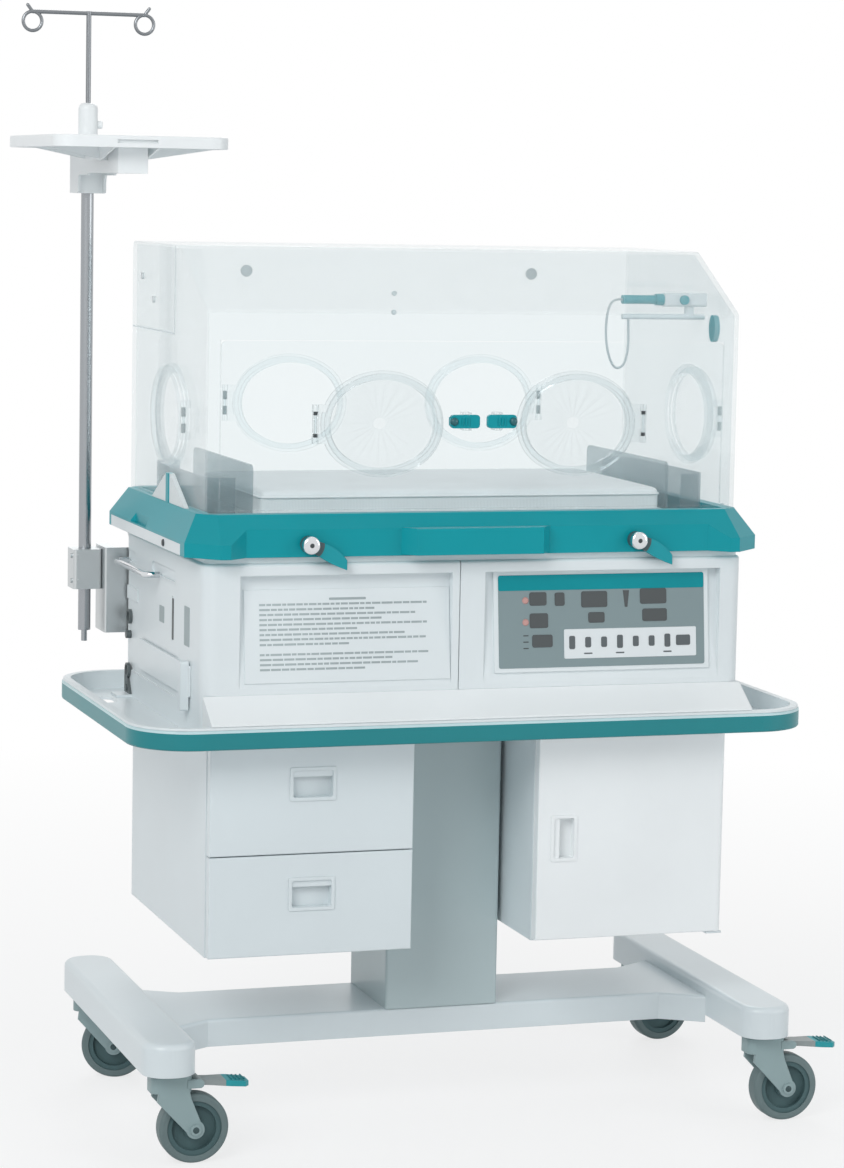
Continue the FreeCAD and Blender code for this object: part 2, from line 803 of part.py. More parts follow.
def side_rail():
    """A chrome hand rail along the upper left side."""
    x = -housing_reach - rail_stand_off
    z = housing_low + rail_height
    start = Vector(-housing_reach, rail_back, z)
    bend = 12.0
    points = [start, Vector(x + bend, rail_back, z), Vector(x, rail_back - bend, z),
              Vector(x, rail_front + bend, z), Vector(x + bend, rail_front, z), Vector(-housing_reach, rail_front, z)]
    turn = bend * (1 - math.sqrt(0.5))
    back_arc = Part.Arc(points[1], Vector(x + turn, rail_back - turn, z), points[2])
    front_arc = Part.Arc(points[3], Vector(x + turn, rail_front + turn, z), points[4])
    path = Part.Wire([Part.LineSegment(points[0], points[1]).toShape(), back_arc.toShape(),
                      Part.LineSegment(points[2], points[3]).toShape(), front_arc.toShape(),
                      Part.LineSegment(points[4], points[5]).toShape()])
    section = Part.Wire(Part.Circle(start, Vector(-1, 0, 0), rail_radius).toShape())
    return path.makePipeShell([section], True, True)


def reservoir():
    """The water reservoir: an open trough with a face and an upright handle."""
    x_face = -housing_reach
    z0, z1 = housing_low + reservoir_low, housing_low + reservoir_high
    w = reservoir_wall
    trough = block(x_face, x_face + reservoir_reach - rest_gap, reservoir_front, reservoir_back, z0, z1)
    trough = trough.cut(block(x_face + w + 1, x_face + reservoir_reach - rest_gap - w, reservoir_front + w,
                              reservoir_back - w, z0 + w, z1 + 1))
    face = block(x_face - reservoir_face - rest_gap, x_face - rest_gap, reservoir_front - 36, reservoir_back + 4,
                 z0 - 4, z1 + 5)
    face = round_edges(face, 4.0, along((1, 0, 0)))
    neck = block(x_face - rest_gap - 1, x_face + 1, reservoir_front, reservoir_back, z0, z1)
    y0 = reservoir_front - 32
    middle = (z0 + z1) / 2 - 6
    grip = block(x_face - reservoir_face - rest_gap - handle_proud, x_face - reservoir_face - rest_gap + 1,
                 y0, y0 + handle_width, middle - handle_height / 2, middle + handle_height / 2)
    grip = round_edges(grip, 3.0, along((1, 0, 0)))
    return fuse([trough, face, neck, grip])


def deck_plate():
    """The white deck inside the canopy, with the lugs that carry the bed's tilt shaft."""
    inset = 5.0
    deck = upright_block(-housing_reach + inset, housing_reach - inset, housing_front + inset, housing_back - inset,
                         housing_top, deck_top, housing_corner - inset)
    pieces = [deck]
    z = deck_top + bed_pivot_height
    far = bushing_y + bushing_length / 2 + rest_gap
    for sign in (-1, 1):
        y0 = sign * far if sign > 0 else -far - lug_thick
        lug = block(-16, 16, y0, y0 + lug_thick, deck_top - 1, z)
        pieces += [lug, rod((0, y0, z), (0, 1, 0), bushing_radius, lug_thick)]
    pieces.append(rod((0, -far - lug_thick, z), (0, 1, 0), tilt_shaft_radius, 2 * (far + lug_thick)))
    return fuse(pieces)


# Bed

def bed_tray():
    """The tray under the mattress, with the two bushings that it tilts on."""
    w = bed_wall
    tray = upright_block(-bed_reach, bed_reach, bed_front, bed_back, bed_low, bed_rim, 12.0)
    tray = tray.cut(upright_block(-bed_reach + w, bed_reach - w, bed_front + w, bed_back - w,
                                  bed_low + w, bed_rim + 1, 12.0 - w))
    z = deck_top + bed_pivot_height
    pieces = [tray]
    for sign in (-1, 1):
        y0 = sign * bushing_y - bushing_length / 2
        pieces.append(rod((0, y0, z), (0, 1, 0), bushing_radius, bushing_length))
        pieces.append(block(-bushing_radius, bushing_radius, y0, y0 + bushing_length, z, bed_low + 1))
    body = fuse(pieces)
    return body.cut(rod((0, -bushing_y - bushing_length, z), (0, 1, 0), tilt_shaft_radius + running,
                        2 * (bushing_y + bushing_length)))


def mattress():
    """The flat foam pad in the bed tray."""
    gap = bed_wall + mattress_inset
    low = bed_low + bed_wall
    pad = upright_block(-bed_reach + gap, bed_reach - gap, bed_front + gap, bed_back - gap,
                        low, low + mattress_height, 10.0)
    return round_edges(pad, 6.0, at_height(low + mattress_height))


def end_walls():
    """The two clear walls at the ends of the bed."""
    walls = []
    for sign in (-1, 1):
        x0 = bed_reach if sign > 0 else -bed_reach - end_wall_thick
        walls.append(block(x0, x0 + end_wall_thick, end_wall_front, end_wall_back, bed_low + 2, bed_rim + end_wall_high))
    walls = [round_edges(wall, 10.0, lambda e: along((1, 0, 0))(e) and e.BoundBox.ZMin > bed_rim) for wall in walls]
    return Part.makeCompound(walls)


def air_baffles():
    """Curved air guides between the ends of the bed and the hood, open below and above."""
    guides = []
    for sign in (-1, 1):
        outer = block(baffle_inner, baffle_outer, end_wall_front, end_wall_back, deck_top, deck_top + baffle_height)
        outer = round_edges(outer, baffle_corner, lambda e: along((0, 0, 1))(e) and e.BoundBox.XMin > baffle_inner + 1)
        w = baffle_wall
        inner = block(baffle_inner - 1, baffle_outer - w, end_wall_front + w, end_wall_back - w,
                      deck_top - 1, deck_top + baffle_height + 1)
        inner = round_edges(inner, baffle_corner - w,
                            lambda e: along((0, 0, 1))(e) and e.BoundBox.XMin > baffle_inner + 1)
        guide = outer.cut(inner)
        guides.append(guide if sign > 0 else mirrored_x(guide))
    return Part.makeCompound(guides)


def bed_handles():
    """On the front of the bed tray: a pull ring, two dark clips and a wire bail."""
    y = bed_front
    items = []
    eye_z = bed_rim - 6
    out = handle_stand_off
    ring = Part.makeTorus(ring_radius, bail_wire, Vector(ring_x, y - bail_wire - 0.6 * out, eye_z - ring_radius),
                          Vector(0, 1, 0))
    staple = block(ring_x - 0.5 * ring_radius, ring_x + 0.5 * ring_radius, y - out, y, eye_z - 3, eye_z + 3)
    items.append(fuse([ring, staple]))
    for x, z in ((clip_left, bed_rim - 5), (clip_right, bed_rim - 8)):
        items.append(block(x - clip_width / 2, x + clip_width / 2, y - out, y, z - 0.3 * clip_width, z + 0.3 * clip_width))
    path = [(bail_left, bed_rim - 10), (bail_left + bail_length, bed_rim - 17),
            (bail_left + 1.1 * bail_length, bed_rim - 6)]
    wire_y = y - 0.8 * out
    parts = []
    for (xa, za), (xb, zb) in zip(path, path[1:]):
        step = Vector(xb - xa, 0, zb - za)
        parts.append(Part.makeCylinder(bail_wire, step.Length, Vector(xa, wire_y, za), step))
        parts.append(Part.makeSphere(bail_wire, Vector(xb, wire_y, zb)))
    for x, z in (path[0], path[-1]):
        parts.append(rod((x, y - out, z), (0, 1, 0), bail_wire, out))
    items.append(fuse(parts))
    return Part.makeCompound(items)


# Canopy

def chamfered(reach, y0, y1, chamfer, z):
    """An eight-sided plan outline as a wire."""
    c = chamfer
    points = [(-reach + c, y0), (reach - c, y0), (reach, y0 + c), (reach, y1 - c),
              (reach - c, y1), (-reach + c, y1), (-reach, y1 - c), (-reach, y0 + c)]
    corners = [Vector(x, y, z) for x, y in points]
    return Part.makePolygon(corners + corners[:1])


def canopy_frame():
    """The coloured frame under the hood: corner blocks, front band, grip and hinge ears."""
    skirt_top = frame_low + frame_skirt
    skirt = Part.Face(chamfered(frame_reach, frame_front, frame_back, frame_chamfer, frame_low))
    skirt = skirt.extrude(Vector(0, 0, frame_skirt))
    top = Part.makeLoft([chamfered(frame_reach, frame_front, frame_back, frame_chamfer, skirt_top),
                         chamfered(frame_top_reach, frame_top_front, frame_top_back, 0.6 * frame_chamfer, frame_top)],
                        True, True)
    body = fuse([skirt, top])
    band_y = frame_front + band_depth
    ramp = band_reach + band_ramp
    band = plan([(-ramp, frame_front - 1), (-ramp, frame_front), (-band_reach, band_y), (band_reach, band_y),
                 (ramp, frame_front), (ramp, frame_front - 1)], frame_low - 1, frame_top + 1)
    body = body.cut(band)
    for sign in (-1, 1):
        face = sign * frame_reach
        inner = face - sign * side_notch_depth
        mid = side_notch_depth
        notch = plan([(face + sign, side_notch_front - mid), (face, side_notch_front - mid), (inner, side_notch_front),
                      (inner, side_notch_back), (face, side_notch_back + mid), (face + sign, side_notch_back + mid)],
                     frame_low + strip_height + 2, frame_top + 1)
        body = body.cut(notch)
    left, right = grip_centre - grip_half, grip_centre + grip_half
    grip_top = frame_low + grip_height
    grip = plan([(left - grip_ramp, band_y), (left, frame_front), (right, frame_front), (right + grip_ramp, band_y)],
                frame_low + 2, grip_top)
    grip = round_edges(grip, 4.0, lambda e: at_height(grip_top)(e) and e.BoundBox.YMax < band_y - 1)
    finger = plan([(left, band_y - 0.01), (left + 2, frame_front + grip_wall), (right - 2, frame_front + grip_wall),
                   (right, band_y - 0.01)], frame_low - 1, grip_top - 9)
    body = fuse([body, grip.cut(finger)])
    opening = block(-frame_open_reach, frame_open_reach, frame_open_front, frame_open_back,
                    frame_low - 1, frame_top + 1)
    body = body.cut(round_edges(opening, 8.0, along((0, 0, 1))))
    hinge_z = frame_low - hinge_drop
    for sign in (-1, 1):
        x0 = sign * hinge_x - hinge_ear / 2
        n = hinge_nose
        ear = side([(hinge_y - n, hinge_z), (hinge_y - 1.7 * n, frame_low + 1), (hinge_y + 1.7 * n, frame_low + 1),
                    (hinge_y + n, hinge_z)], x0, x0 + hinge_ear)
        barrel = rod((x0, hinge_y, hinge_z), (1, 0, 0), n, hinge_ear)
        body = fuse([body, ear, barrel])
        body = body.cut(rod((x0 - 1, hinge_y, hinge_z), (1, 0, 0), hinge_pin + running, hinge_ear + 2))
    for sign in (-1, 1):
        x0 = frame_reach - strip_thick if sign > 0 else -frame_reach
        body = body.cut(block(x0 - (0 if sign > 0 else 1), x0 + strip_thick + (1 if sign > 0 else 0),
                              frame_front + frame_chamfer + strip_end, frame_back - frame_chamfer - strip_end / 2,
                              frame_low - 1, frame_low + strip_height))
    return body


def side_strips():
    """The pale strips let into the lower sides of the canopy frame."""
    strips = []
    for sign in (-1, 1):
        x0 = frame_reach - strip_thick if sign > 0 else -frame_reach
        strips.append(block(x0, x0 + strip_thick, frame_front + frame_chamfer + strip_end,
                            frame_back - frame_chamfer - strip_end / 2, frame_low, frame_low + strip_height))
    return Part.makeCompound(strips)


def canopy_hinges():
    """Two hinge brackets on the back of the housing, each a pair of cheeks with a pin."""
    brackets = []
    z = frame_low - hinge_drop
    gap = hinge_ear / 2 + rest_gap
    for sign in (-1, 1):
        pieces = []
        for x0 in (sign * hinge_x - gap - hinge_cheek, sign * hinge_x + gap):
            n = hinge_nose
            cheek = side([(housing_back, z - 3 * n), (housing_back + n, z - 3 * n), (hinge_y + n, z - 0.3 * n),
                          (hinge_y + n, z), (hinge_y, z + n), (housing_back, z + 0.7 * n)], x0, x0 + hinge_cheek)
            pieces += [cheek, rod((x0, hinge_y, z), (1, 0, 0), n, hinge_cheek)]
        width = 2 * (gap + hinge_cheek)
        x0 = sign * hinge_x - width / 2
        pieces.append(block(x0, x0 + width, housing_back, housing_back + hinge_plate, z - 3.3 * n, z - n))
        pieces.append(rod((x0 - 0.5 * hinge_pin, hinge_y, z), (1, 0, 0), hinge_pin, width + hinge_pin))
        brackets.append(fuse(pieces))
    return Part.makeCompound(brackets)


def hood_section(inset):
    """The hood's side outline, set in by a wall, as (y, z) points."""
    nose_z = hood_top - slope_drop
    run = slope_start - hood_front
    tilt = math.atan2(slope_drop, run)
    shift = inset * math.tan((math.pi / 2 - tilt) / 2)
    lift = inset * math.tan(tilt / 2)
    low = frame_top if inset == 0 else frame_top - 1
    return [(hood_front + inset, low), (hood_front + inset, nose_z - shift),
            (slope_start + lift, hood_top - inset), (hood_back - inset, hood_top - inset), (hood_back - inset, low)]


def wall_frame(name):
    """Local frame of a port: middle point, outward way and the level way along the wall."""
    wall, centre = PORTS[name]
    if wall == "front":
        return Vector(centre, hood_front, port_z), Vector(0, -1, 0), Vector(1, 0, 0)
    if wall == "rear":
        return Vector(centre, hood_back, port_z), Vector(0, 1, 0), Vector(1, 0, 0)
    if wall == "left":
        return Vector(-hood_reach, centre, port_z), Vector(-1, 0, 0), Vector(0, 1, 0)
    return Vector(hood_reach, centre, port_z), Vector(1, 0, 0), Vector(0, 1, 0)


def port_oval(name, grow, start, depth):
    """An oval at one of the ports; start counts outwards from the wall's outer face."""
    middle, out, level = wall_frame(name)
    return oval(middle + out * start, level, Vector(0, 0, 1), port_half_width + grow, port_half_height + grow,
                port_end_radius + grow, out * depth)


def outer_rim(name, limit):
    """A test for edges that lie wholly further out from a port's wall than the limit."""
    middle, out, level = wall_frame(name)
    return lambda edge: min((v.Point - middle).dot(out) for v in edge.Vertexes) > limit


PORTS = {"front_left": ("front", port_front_left), "front_right": ("front", port_front_right),
         "rear_left": ("rear", port_rear_left), "rear_right": ("rear", port_rear_right),
         "left_end": ("left", port_end), "right_end": ("right", port_end)}
HINGE_SIDE = {"front_left": -1, "front_right": 1, "rear_left": -1, "rear_right": 1, "left_end": -1, "right_end": -1}


def hood_shell():
    """The clear hood: five bent faces, the front opening and four port holes."""
    outer = side(hood_section(0.0), -hood_reach, hood_reach)
    outer = round_edges(outer, hood_bend,
                        lambda e: e.BoundBox.ZMin > frame_top + 1 and not along((0, 1, 0))(e) and along((1, 0, 0))(e))
    inner = side(hood_section(hood_wall), -hood_reach + hood_wall, hood_reach - hood_wall)
    shell = outer.cut(inner)
    sill = frame_top + panel_low - hood_wall / 2 - panel_gap
    head = frame_top + panel_low + panel_height + panel_gap
    window = block(-panel_reach - panel_gap, panel_reach + panel_gap, hood_front - 1, hood_front + hood_wall + 1,
                   sill, head)
    shell = shell.cut(window)
    hinge_line = (hood_front + hood_wall / 2, frame_top + panel_low)
    for sign in (-1, 1):
        x0 = panel_reach if sign > 0 else -panel_reach - panel_pin_length - 2
        shell = shell.cut(rod((x0, hinge_line[0], hinge_line[1]), (1, 0, 0), panel_pin + running, panel_pin_length + 2))
    for name in ("rear_left", "rear_right", "left_end", "right_end"):
        shell = shell.cut(port_oval(name, -port_rim, 1.0, -hood_wall - 2))
    return shell


def front_panel():
    """The clear drop-down access panel with its two hand port holes and hinge pins."""
    y0, y1 = hood_front, hood_front + hood_wall
    z0 = frame_top + panel_low
    panel = block(-panel_reach, panel_reach, y0, y1, z0, z0 + panel_height)
    edge = rod((-panel_reach, (y0 + y1) / 2, z0), (1, 0, 0), hood_wall / 2, 2 * panel_reach)
    pins = rod((-panel_reach - panel_pin_length, (y0 + y1) / 2, z0), (1, 0, 0), panel_pin,
               2 * (panel_reach + panel_pin_length))
    panel = fuse([panel, edge, pins])
    panel = round_edges(panel, 8.0, lambda e: along((0, 1, 0))(e) and e.BoundBox.ZMin > z0 + panel_height - 1)
    for name in ("front_left", "front_right"):
        panel = panel.cut(port_oval(name, -port_rim, 1.0, -hood_wall - 2))
    return panel


def local_block(name, s0, s1, o0, o1, h0, h1):
    """A box in a port's own frame: along the wall, outwards, and up."""
    middle, out, level = wall_frame(name)
    a = middle + level * s0 + out * o0 + Vector(0, 0, h0)
    b = middle + level * s1 + out * o1 + Vector(0, 0, h1)
    return block(min(a.x, b.x), max(a.x, b.x), min(a.y, b.y), max(a.y, b.y), min(a.z, b.z), max(a.z, b.z))


barrel_out = port_ring_thick + rest_gap + barrel_radius + 0.5


def hinge_point(name):
    """Where a port door's hinge line crosses the height of the port's middle."""
    middle, out, level = wall_frame(name)
    return middle + level * (HINGE_SIDE[name] * (port_half_width + port_hinge_offset)) + out * barrel_out


def port_ring(name):
    """The frame of a port on the wall, with two hinge ears and the hinge pin."""
    ring = port_oval(name, 0.0, 0.0, port_ring_thick)
    ring = round_edges(ring, 1.5, outer_rim(name, 1.0))
    ring = ring.cut(port_oval(name, -port_rim, -1.0, port_ring_thick + 2))
    point = hinge_point(name)
    s = HINGE_SIDE[name]
    far = s * (port_half_width + port_hinge_offset)
    pieces = [ring]
    for h0 in (-barrel_half - rest_gap - barrel_ear, barrel_half + rest_gap):
        pieces.append(rod((point.x, point.y, point.z + h0), (0, 0, 1), barrel_radius, barrel_ear))
        pieces.append(local_block(name, s * (port_half_width - 8), far, 0.0, port_ring_thick, h0, h0 + barrel_ear))
        pieces.append(local_block(name, far - 2.5, far + 2.5, 0.0, barrel_out, h0, h0 + barrel_ear))
    pin_half = barrel_half + rest_gap + barrel_ear
    pieces.append(rod((point.x, point.y, point.z - pin_half), (0, 0, 1), barrel_pin, 2 * pin_half))
    return fuse(pieces)


def port_door(name):
    """A port door: an oval pane with a raised rim, and its hinge barrel."""
    start = port_ring_thick + rest_gap
    pane = port_oval(name, -port_door_inset, start, port_door_rim)
    pane = round_edges(pane, 1.2, outer_rim(name, start + 1))
    pane = pane.cut(port_oval(name, -port_door_inset - 7, start + port_door_thick, port_door_rim))
    point = hinge_point(name)
    s = HINGE_SIDE[name]
    barrel = rod((point.x, point.y, point.z - barrel_half), (0, 0, 1), barrel_radius, 2 * barrel_half)
    tab = local_block(name, s * (port_half_width - port_door_inset - 4), s * (port_half_width + port_hinge_offset),
                      barrel_out - 2, barrel_out + 2, -barrel_half, barrel_half)
    door = fuse([pane, barrel, tab])
    return door.cut(rod((point.x, point.y, point.z - barrel_half - 1), (0, 0, 1), barrel_pin + pin_clear,
                        2 * barrel_half + 2))


def latch_pivot(name):
    """Where a front latch turns: past the door's free edge, out from the panel."""
    wall, centre = PORTS[name]
    s = -HINGE_SIDE[name]
    return Vector(centre + s * (port_half_width + 6 + 0.6 * latch_length), hood_front - latch_lift, port_z + 4)


def latch_base(name):
    """Two ears on the panel that carry a latch, with its pin."""
    point = latch_pivot(name)
    pieces = []
    for z0 in (point.z - latch_height / 2 - rest_gap - 3, point.z + latch_height / 2 + rest_gap):
        pieces.append(block(point.x - 6, point.x + 6, point.y, hood_front, z0, z0 + 3))
        pieces.append(rod((point.x, point.y, z0), (0, 0, 1), latch_hub, 3))
    pin_low = point.z - latch_height / 2 - rest_gap - 3
    pieces.append(rod((point.x, point.y, pin_low), (0, 0, 1), latch_pin, latch_height + 2 * rest_gap + 6))
    pieces.append(block(point.x - 6, point.x + 6, hood_front - 2, hood_front,
                        point.z - latch_height / 2 - rest_gap - 3, point.z + latch_height / 2 + rest_gap + 3))
    return fuse(pieces)


def port_latch(name):
    """The coloured press latch beside a front port: hub, pad and finger end."""
    point = latch_pivot(name)
    s = -HINGE_SIDE[name]
    near = point.x - s * 0.6 * latch_length
    far = point.x + s * 0.4 * latch_length
    half = latch_height / 2
    y0 = point.y - latch_thick / 2
    pad = block(min(near, far), max(near, far), y0, y0 + latch_thick, point.z - half, point.z + half)
    pad = round_edges(pad, 5.0, along((0, 1, 0)))
    hub = rod((point.x, point.y, point.z - half), (0, 0, 1), latch_hub, latch_height)
    tip = block(min(near, near + s * 9), max(near, near + s * 9), y0, point.y + 7, point.z - 6, point.z + 6)
    body = fuse([pad, hub, tip])
    return body.cut(rod((point.x, point.y, point.z - half - 1), (0, 0, 1), latch_pin + pin_clear, latch_height + 2))


def lock_point(x):
    """The pivot of a canopy lock, on the face of the front band."""
    return Vector(x, frame_front + band_depth, frame_low + lock_height)


def lock_boss_pieces():
    """The two pins on the front band that the canopy locks turn on."""
    pins = []
    for x in (lock_left, lock_right):
        p = lock_point(x)
        pins.append(rod((p.x, p.y - 14, p.z), (0, 1, 0), 3.0, 14))
    return pins


def canopy_lock(x):
    """A canopy lock: round chrome knob and a curved lever that hangs to the right."""
    p = lock_point(x)
    y1 = p.y - rest_gap
    knob = rod((p.x, y1 - 20, p.z), (0, 1, 0), lock_knob, 20)
    knob = round_edges(knob, 3.5, lambda e: e.Closed and abs(e.BoundBox.YMax - (y1 - 20)) < 1e-3)
    reach = lock_lever
    drop = 0.6 * reach
    half = lock_width / 2
    top = [Vector(p.x, y1 - 11, p.z + half), Vector(p.x + 0.55 * reach, y1 - 11, p.z - 0.1 * drop),
           Vector(p.x + 0.9 * reach, y1 - 11, p.z - 0.62 * drop)]
    low = [Vector(p.x + 0.9 * reach, y1 - 11, p.z - drop), Vector(p.x + 0.5 * reach, y1 - 11, p.z - 0.72 * drop),
           Vector(p.x, y1 - 11, p.z - half - 1)]
    upper = Part.Arc(top[0], top[1], top[2]).toShape()
    lower = Part.Arc(low[0], low[1], low[2]).toShape()
    wire = Part.Wire([upper, Part.makeLine(top[2], low[0]), lower, Part.makeLine(low[2], top[0])])
    lever = Part.Face(wire).extrude(Vector(0, 9, 0))
    body = fuse([knob, lever])
    return body.cut(rod((p.x, y1 - 15, p.z), (0, 1, 0), 3.0 + pin_clear, 16))


def hood_fittings():
    """Small round fittings on the hood and the wedge-shaped tube cuff on its left end."""
    items = []
    for x in (-221.0, 237.0):
        items.append(rod((x, hood_back, hood_top - 43), (0, 1, 0), 9.0, 3.5))
    for z in (hood_top - 75, hood_top - 104):
        items.append(rod((14.0, hood_back, z), (0, 1, 0), 4.0, 3.0))
    for y, z in ((165.0, hood_top - 50), (95.0, hood_top - 82)):
        items.append(rod((-hood_reach, y, z), (-1, 0, 0), 5.0, 3.0))
    x0 = -hood_reach - 7
    cuff = side([(port_end - 97, frame_top), (port_end + 97, frame_top), (port_end + 12, frame_top + 42),
                 (port_end - 12, frame_top + 42)], x0, -hood_reach)
    spine = block(x0 - 1.2, -hood_reach, port_end - 8, port_end + 8, frame_top, frame_top + 42)
    items.append(fuse([cuff, spine]))
    knob = oval((hood_reach, knob_y, frame_top + knob_height), Vector(0, 0, 1), Vector(0, 1, 0),
                knob_half_long, knob_half_short, knob_end_radius, Vector(knob_thick, 0, 0))
    knob = round_edges(knob, 3.0, lambda e: e.BoundBox.XMin > hood_reach + 1)
    items.append(knob)
    return Part.makeCompound(items)


def sensor_module():
    """The sensor bar on the right end wall: body, plug, button and a lower bar."""
    x1 = hood_reach - hood_wall
    z = hood_top - module_drop
    half = module_size / 2
    body = block(x1 - module_length, x1, module_y - half, module_y + half, z - half, z + half)
    body = round_edges(body, 4.0, along((1, 0, 0)))
    plug = rod((x1 - module_length, module_y, z), (-1, 0, 0), plug_radius, plug_length)
    collar = rod((x1 - module_length, module_y, z), (-1, 0, 0), plug_radius + 2, 12)
    button = rod((x1 - 0.55 * module_length, module_y - half, z), (0, -1, 0), 7.0, 4.0)
    low = z - lower_bar_drop
    reach = module_length + plug_length
    bar = rod((x1 - reach, module_y, low), (1, 0, 0), lower_bar_radius, reach)
    stay = block(x1 - 30, x1 - 18, module_y - 4, module_y + 4, low, z)
    return fuse([body, plug, collar, button, bar, stay])


def lead_route():
    """Points of the thin sensor lead: out of the plug, round a narrow loop, up into the bar."""
    x0 = hood_reach - hood_wall - module_length - plug_length
    z0 = hood_top - module_drop
    end_z = z0 - lower_bar_drop - lower_bar_radius
    steps = [(0.0, 0.0, 0.0), (-12.0, 0.0, 0.5), (-21.0, -1.5, -9.0), (-25.0, -3.0, -26.0), (-26.5, -4.0, -46.0),
             (-25.0, -4.5, -66.0), (-20.0, -4.0, -86.0), (-10.5, -2.5, -101.5), (3.0, -1.0, -99.0),
             (9.0, 0.0, -84.0), (11.5, 0.5, -66.0), (11.0, 0.5, -48.0)]
    points = [Vector(x0 + dx, module_y + dy, z0 + dz) for dx, dy, dz in steps]
    points.append(Vector(x0 + 10.0, module_y, end_z))
    return points


def sensor_lead():
    """The lead's tube: straight runs joined by tangent arcs."""
    points = lead_route()
    edges = []
    start = points[0]
    for before, here, after in zip(points, points[1:], points[2:]):
        back, ahead = before - here, after - here
        turn = math.pi - back.getAngle(ahead)
        run = 0.45 * min(back.Length, ahead.Length)
        radius = run / math.tan(turn / 2)
        print("lead bend radius %.1f mm" % radius)
        back.normalize()
        ahead.normalize()
        enter = here + back * run
        leave = here + ahead * run
        inward = (back + ahead).normalize()
        middle = here + inward * (radius / math.cos(turn / 2) - radius)
        edges.append(Part.LineSegment(start, enter).toShape())
        edges.append(Part.Arc(enter, middle, leave).toShape())
        start = leave
    edges.append(Part.LineSegment(start, points[-1]).toShape())
    path = Part.Wire(edges)
    section = Part.Wire(Part.Circle(points[0], points[1] - points[0], lead_radius).toShape())
    tube = path.makePipeShell([section], True, True)
    print("lead length %.1f mm, tube volume %.1f, section x length %.1f"
          % (path.Length, tube.Volume, math.pi * lead_radius ** 2 * path.Length))
    return tube


# Pole, shelf and rod

def iv_pole():
    """The steel pole with its stub tip."""
    tube = rod((pole_x, pole_y, pole_low), (0, 0, 1), pole_radius, pole_high - pole_low)
    tube = tube.cut(rod((pole_x, pole_y, pole_low + 12), (0, 0, 1), pole_radius - pole_wall, pole_high - pole_low))
    return fuse([tube, rod((pole_x, pole_y, pole_low - pole_tip), (0, 0, 1), pole_tip_radius, pole_tip + 1)])


def pole_clamp():
    """The block that clamps the pole, with its four round screw heads."""
    x0 = pole_x - clamp_width / 2
    y0 = pole_y - clamp_depth / 2
    z1 = clamp_low + clamp_height
    body = block(x0, x0 + clamp_width, y0, y0 + clamp_depth, clamp_low, z1)
    body = round_edges(body, 5.0, along((0, 0, 1)))
    pieces = [body]
    for z in (clamp_low + 12, z1 - 10):
        pieces.append(rod((x0 + 9, y0 + 0.5, z), (0, -1, 0), clamp_screw, 3.0))
        pieces.append(rod((x0 + 0.5, y0 + 12, z), (-1, 0, 0), clamp_screw, 3.0))
    body = fuse(pieces)
    return body.cut(rod((pole_x, pole_y, clamp_low - 1), (0, 0, 1), pole_radius, clamp_height + 2))


def pole_bracket():
    """The bent plate that carries the clamp from the back of the housing."""
    t = bracket_thick
    x0 = pole_x + clamp_width / 2
    web = block(x0, bracket_inner, housing_back, housing_back + t, bracket_low, bracket_high)
    flange = block(x0, x0 + 16, housing_back, pole_y + clamp_depth / 2, bracket_low, bracket_high)
    web = fuse([web, flange])
    web = round_edges(web, 3.0, lambda e: along((0, 0, 1))(e) and e.BoundBox.XMax < x0 + 1)
    heads = [rod((bracket_inner - dx, housing_back + t - 0.5, z), (0, 1, 0), 4.5, 3.5)
             for dx in (14, 60) for z in (bracket_low + 18, bracket_high - 18)]
    return fuse([web] + heads)


def shelf_arm():
    """The arm under the shelf: pole hub, forward beam and two arched webs."""
    x0, x1 = pole_x - arm_width / 2, pole_x + arm_width / 2
    y1 = pole_y + hub_depth / 2
    y_hub = pole_y - hub_depth / 2
    tip = pole_y - arm_length
    low = arm_top - arm_height
    beam = block(x0, x1, tip, y1, low, arm_top)
    w = arm_wall
    beam = beam.cut(block(x0 + w, x1 - w, tip + w, y_hub - 6, low - 1, arm_top - w))
    hub = block(x0, x1, y_hub, y1, hub_low, arm_top)
    pieces = [beam, hub]
    drop = low - hub_low
    for xs in (x0, x1 - w):
        web = side([(y_hub, low + 2), (y_hub, hub_low), (y_hub - arch_reach, low), (y_hub - arch_reach, low + 2)],
                   xs, xs + w)
        arch = rod((xs - 1, y_hub - arch_reach, hub_low - drop * 0.4), (1, 0, 0), arch_reach, w + 2)
        arch = arch.common(block(xs - 2, xs + w + 2, y_hub - 2 * arch_reach, y_hub - 6, 0, low - 3))
        pieces.append(web.cut(arch))
    body = fuse(pieces)
    return body.cut(rod((pole_x, pole_y, hub_low - 1), (0, 0, 1), pole_radius + running, arm_top - hub_low + 2))


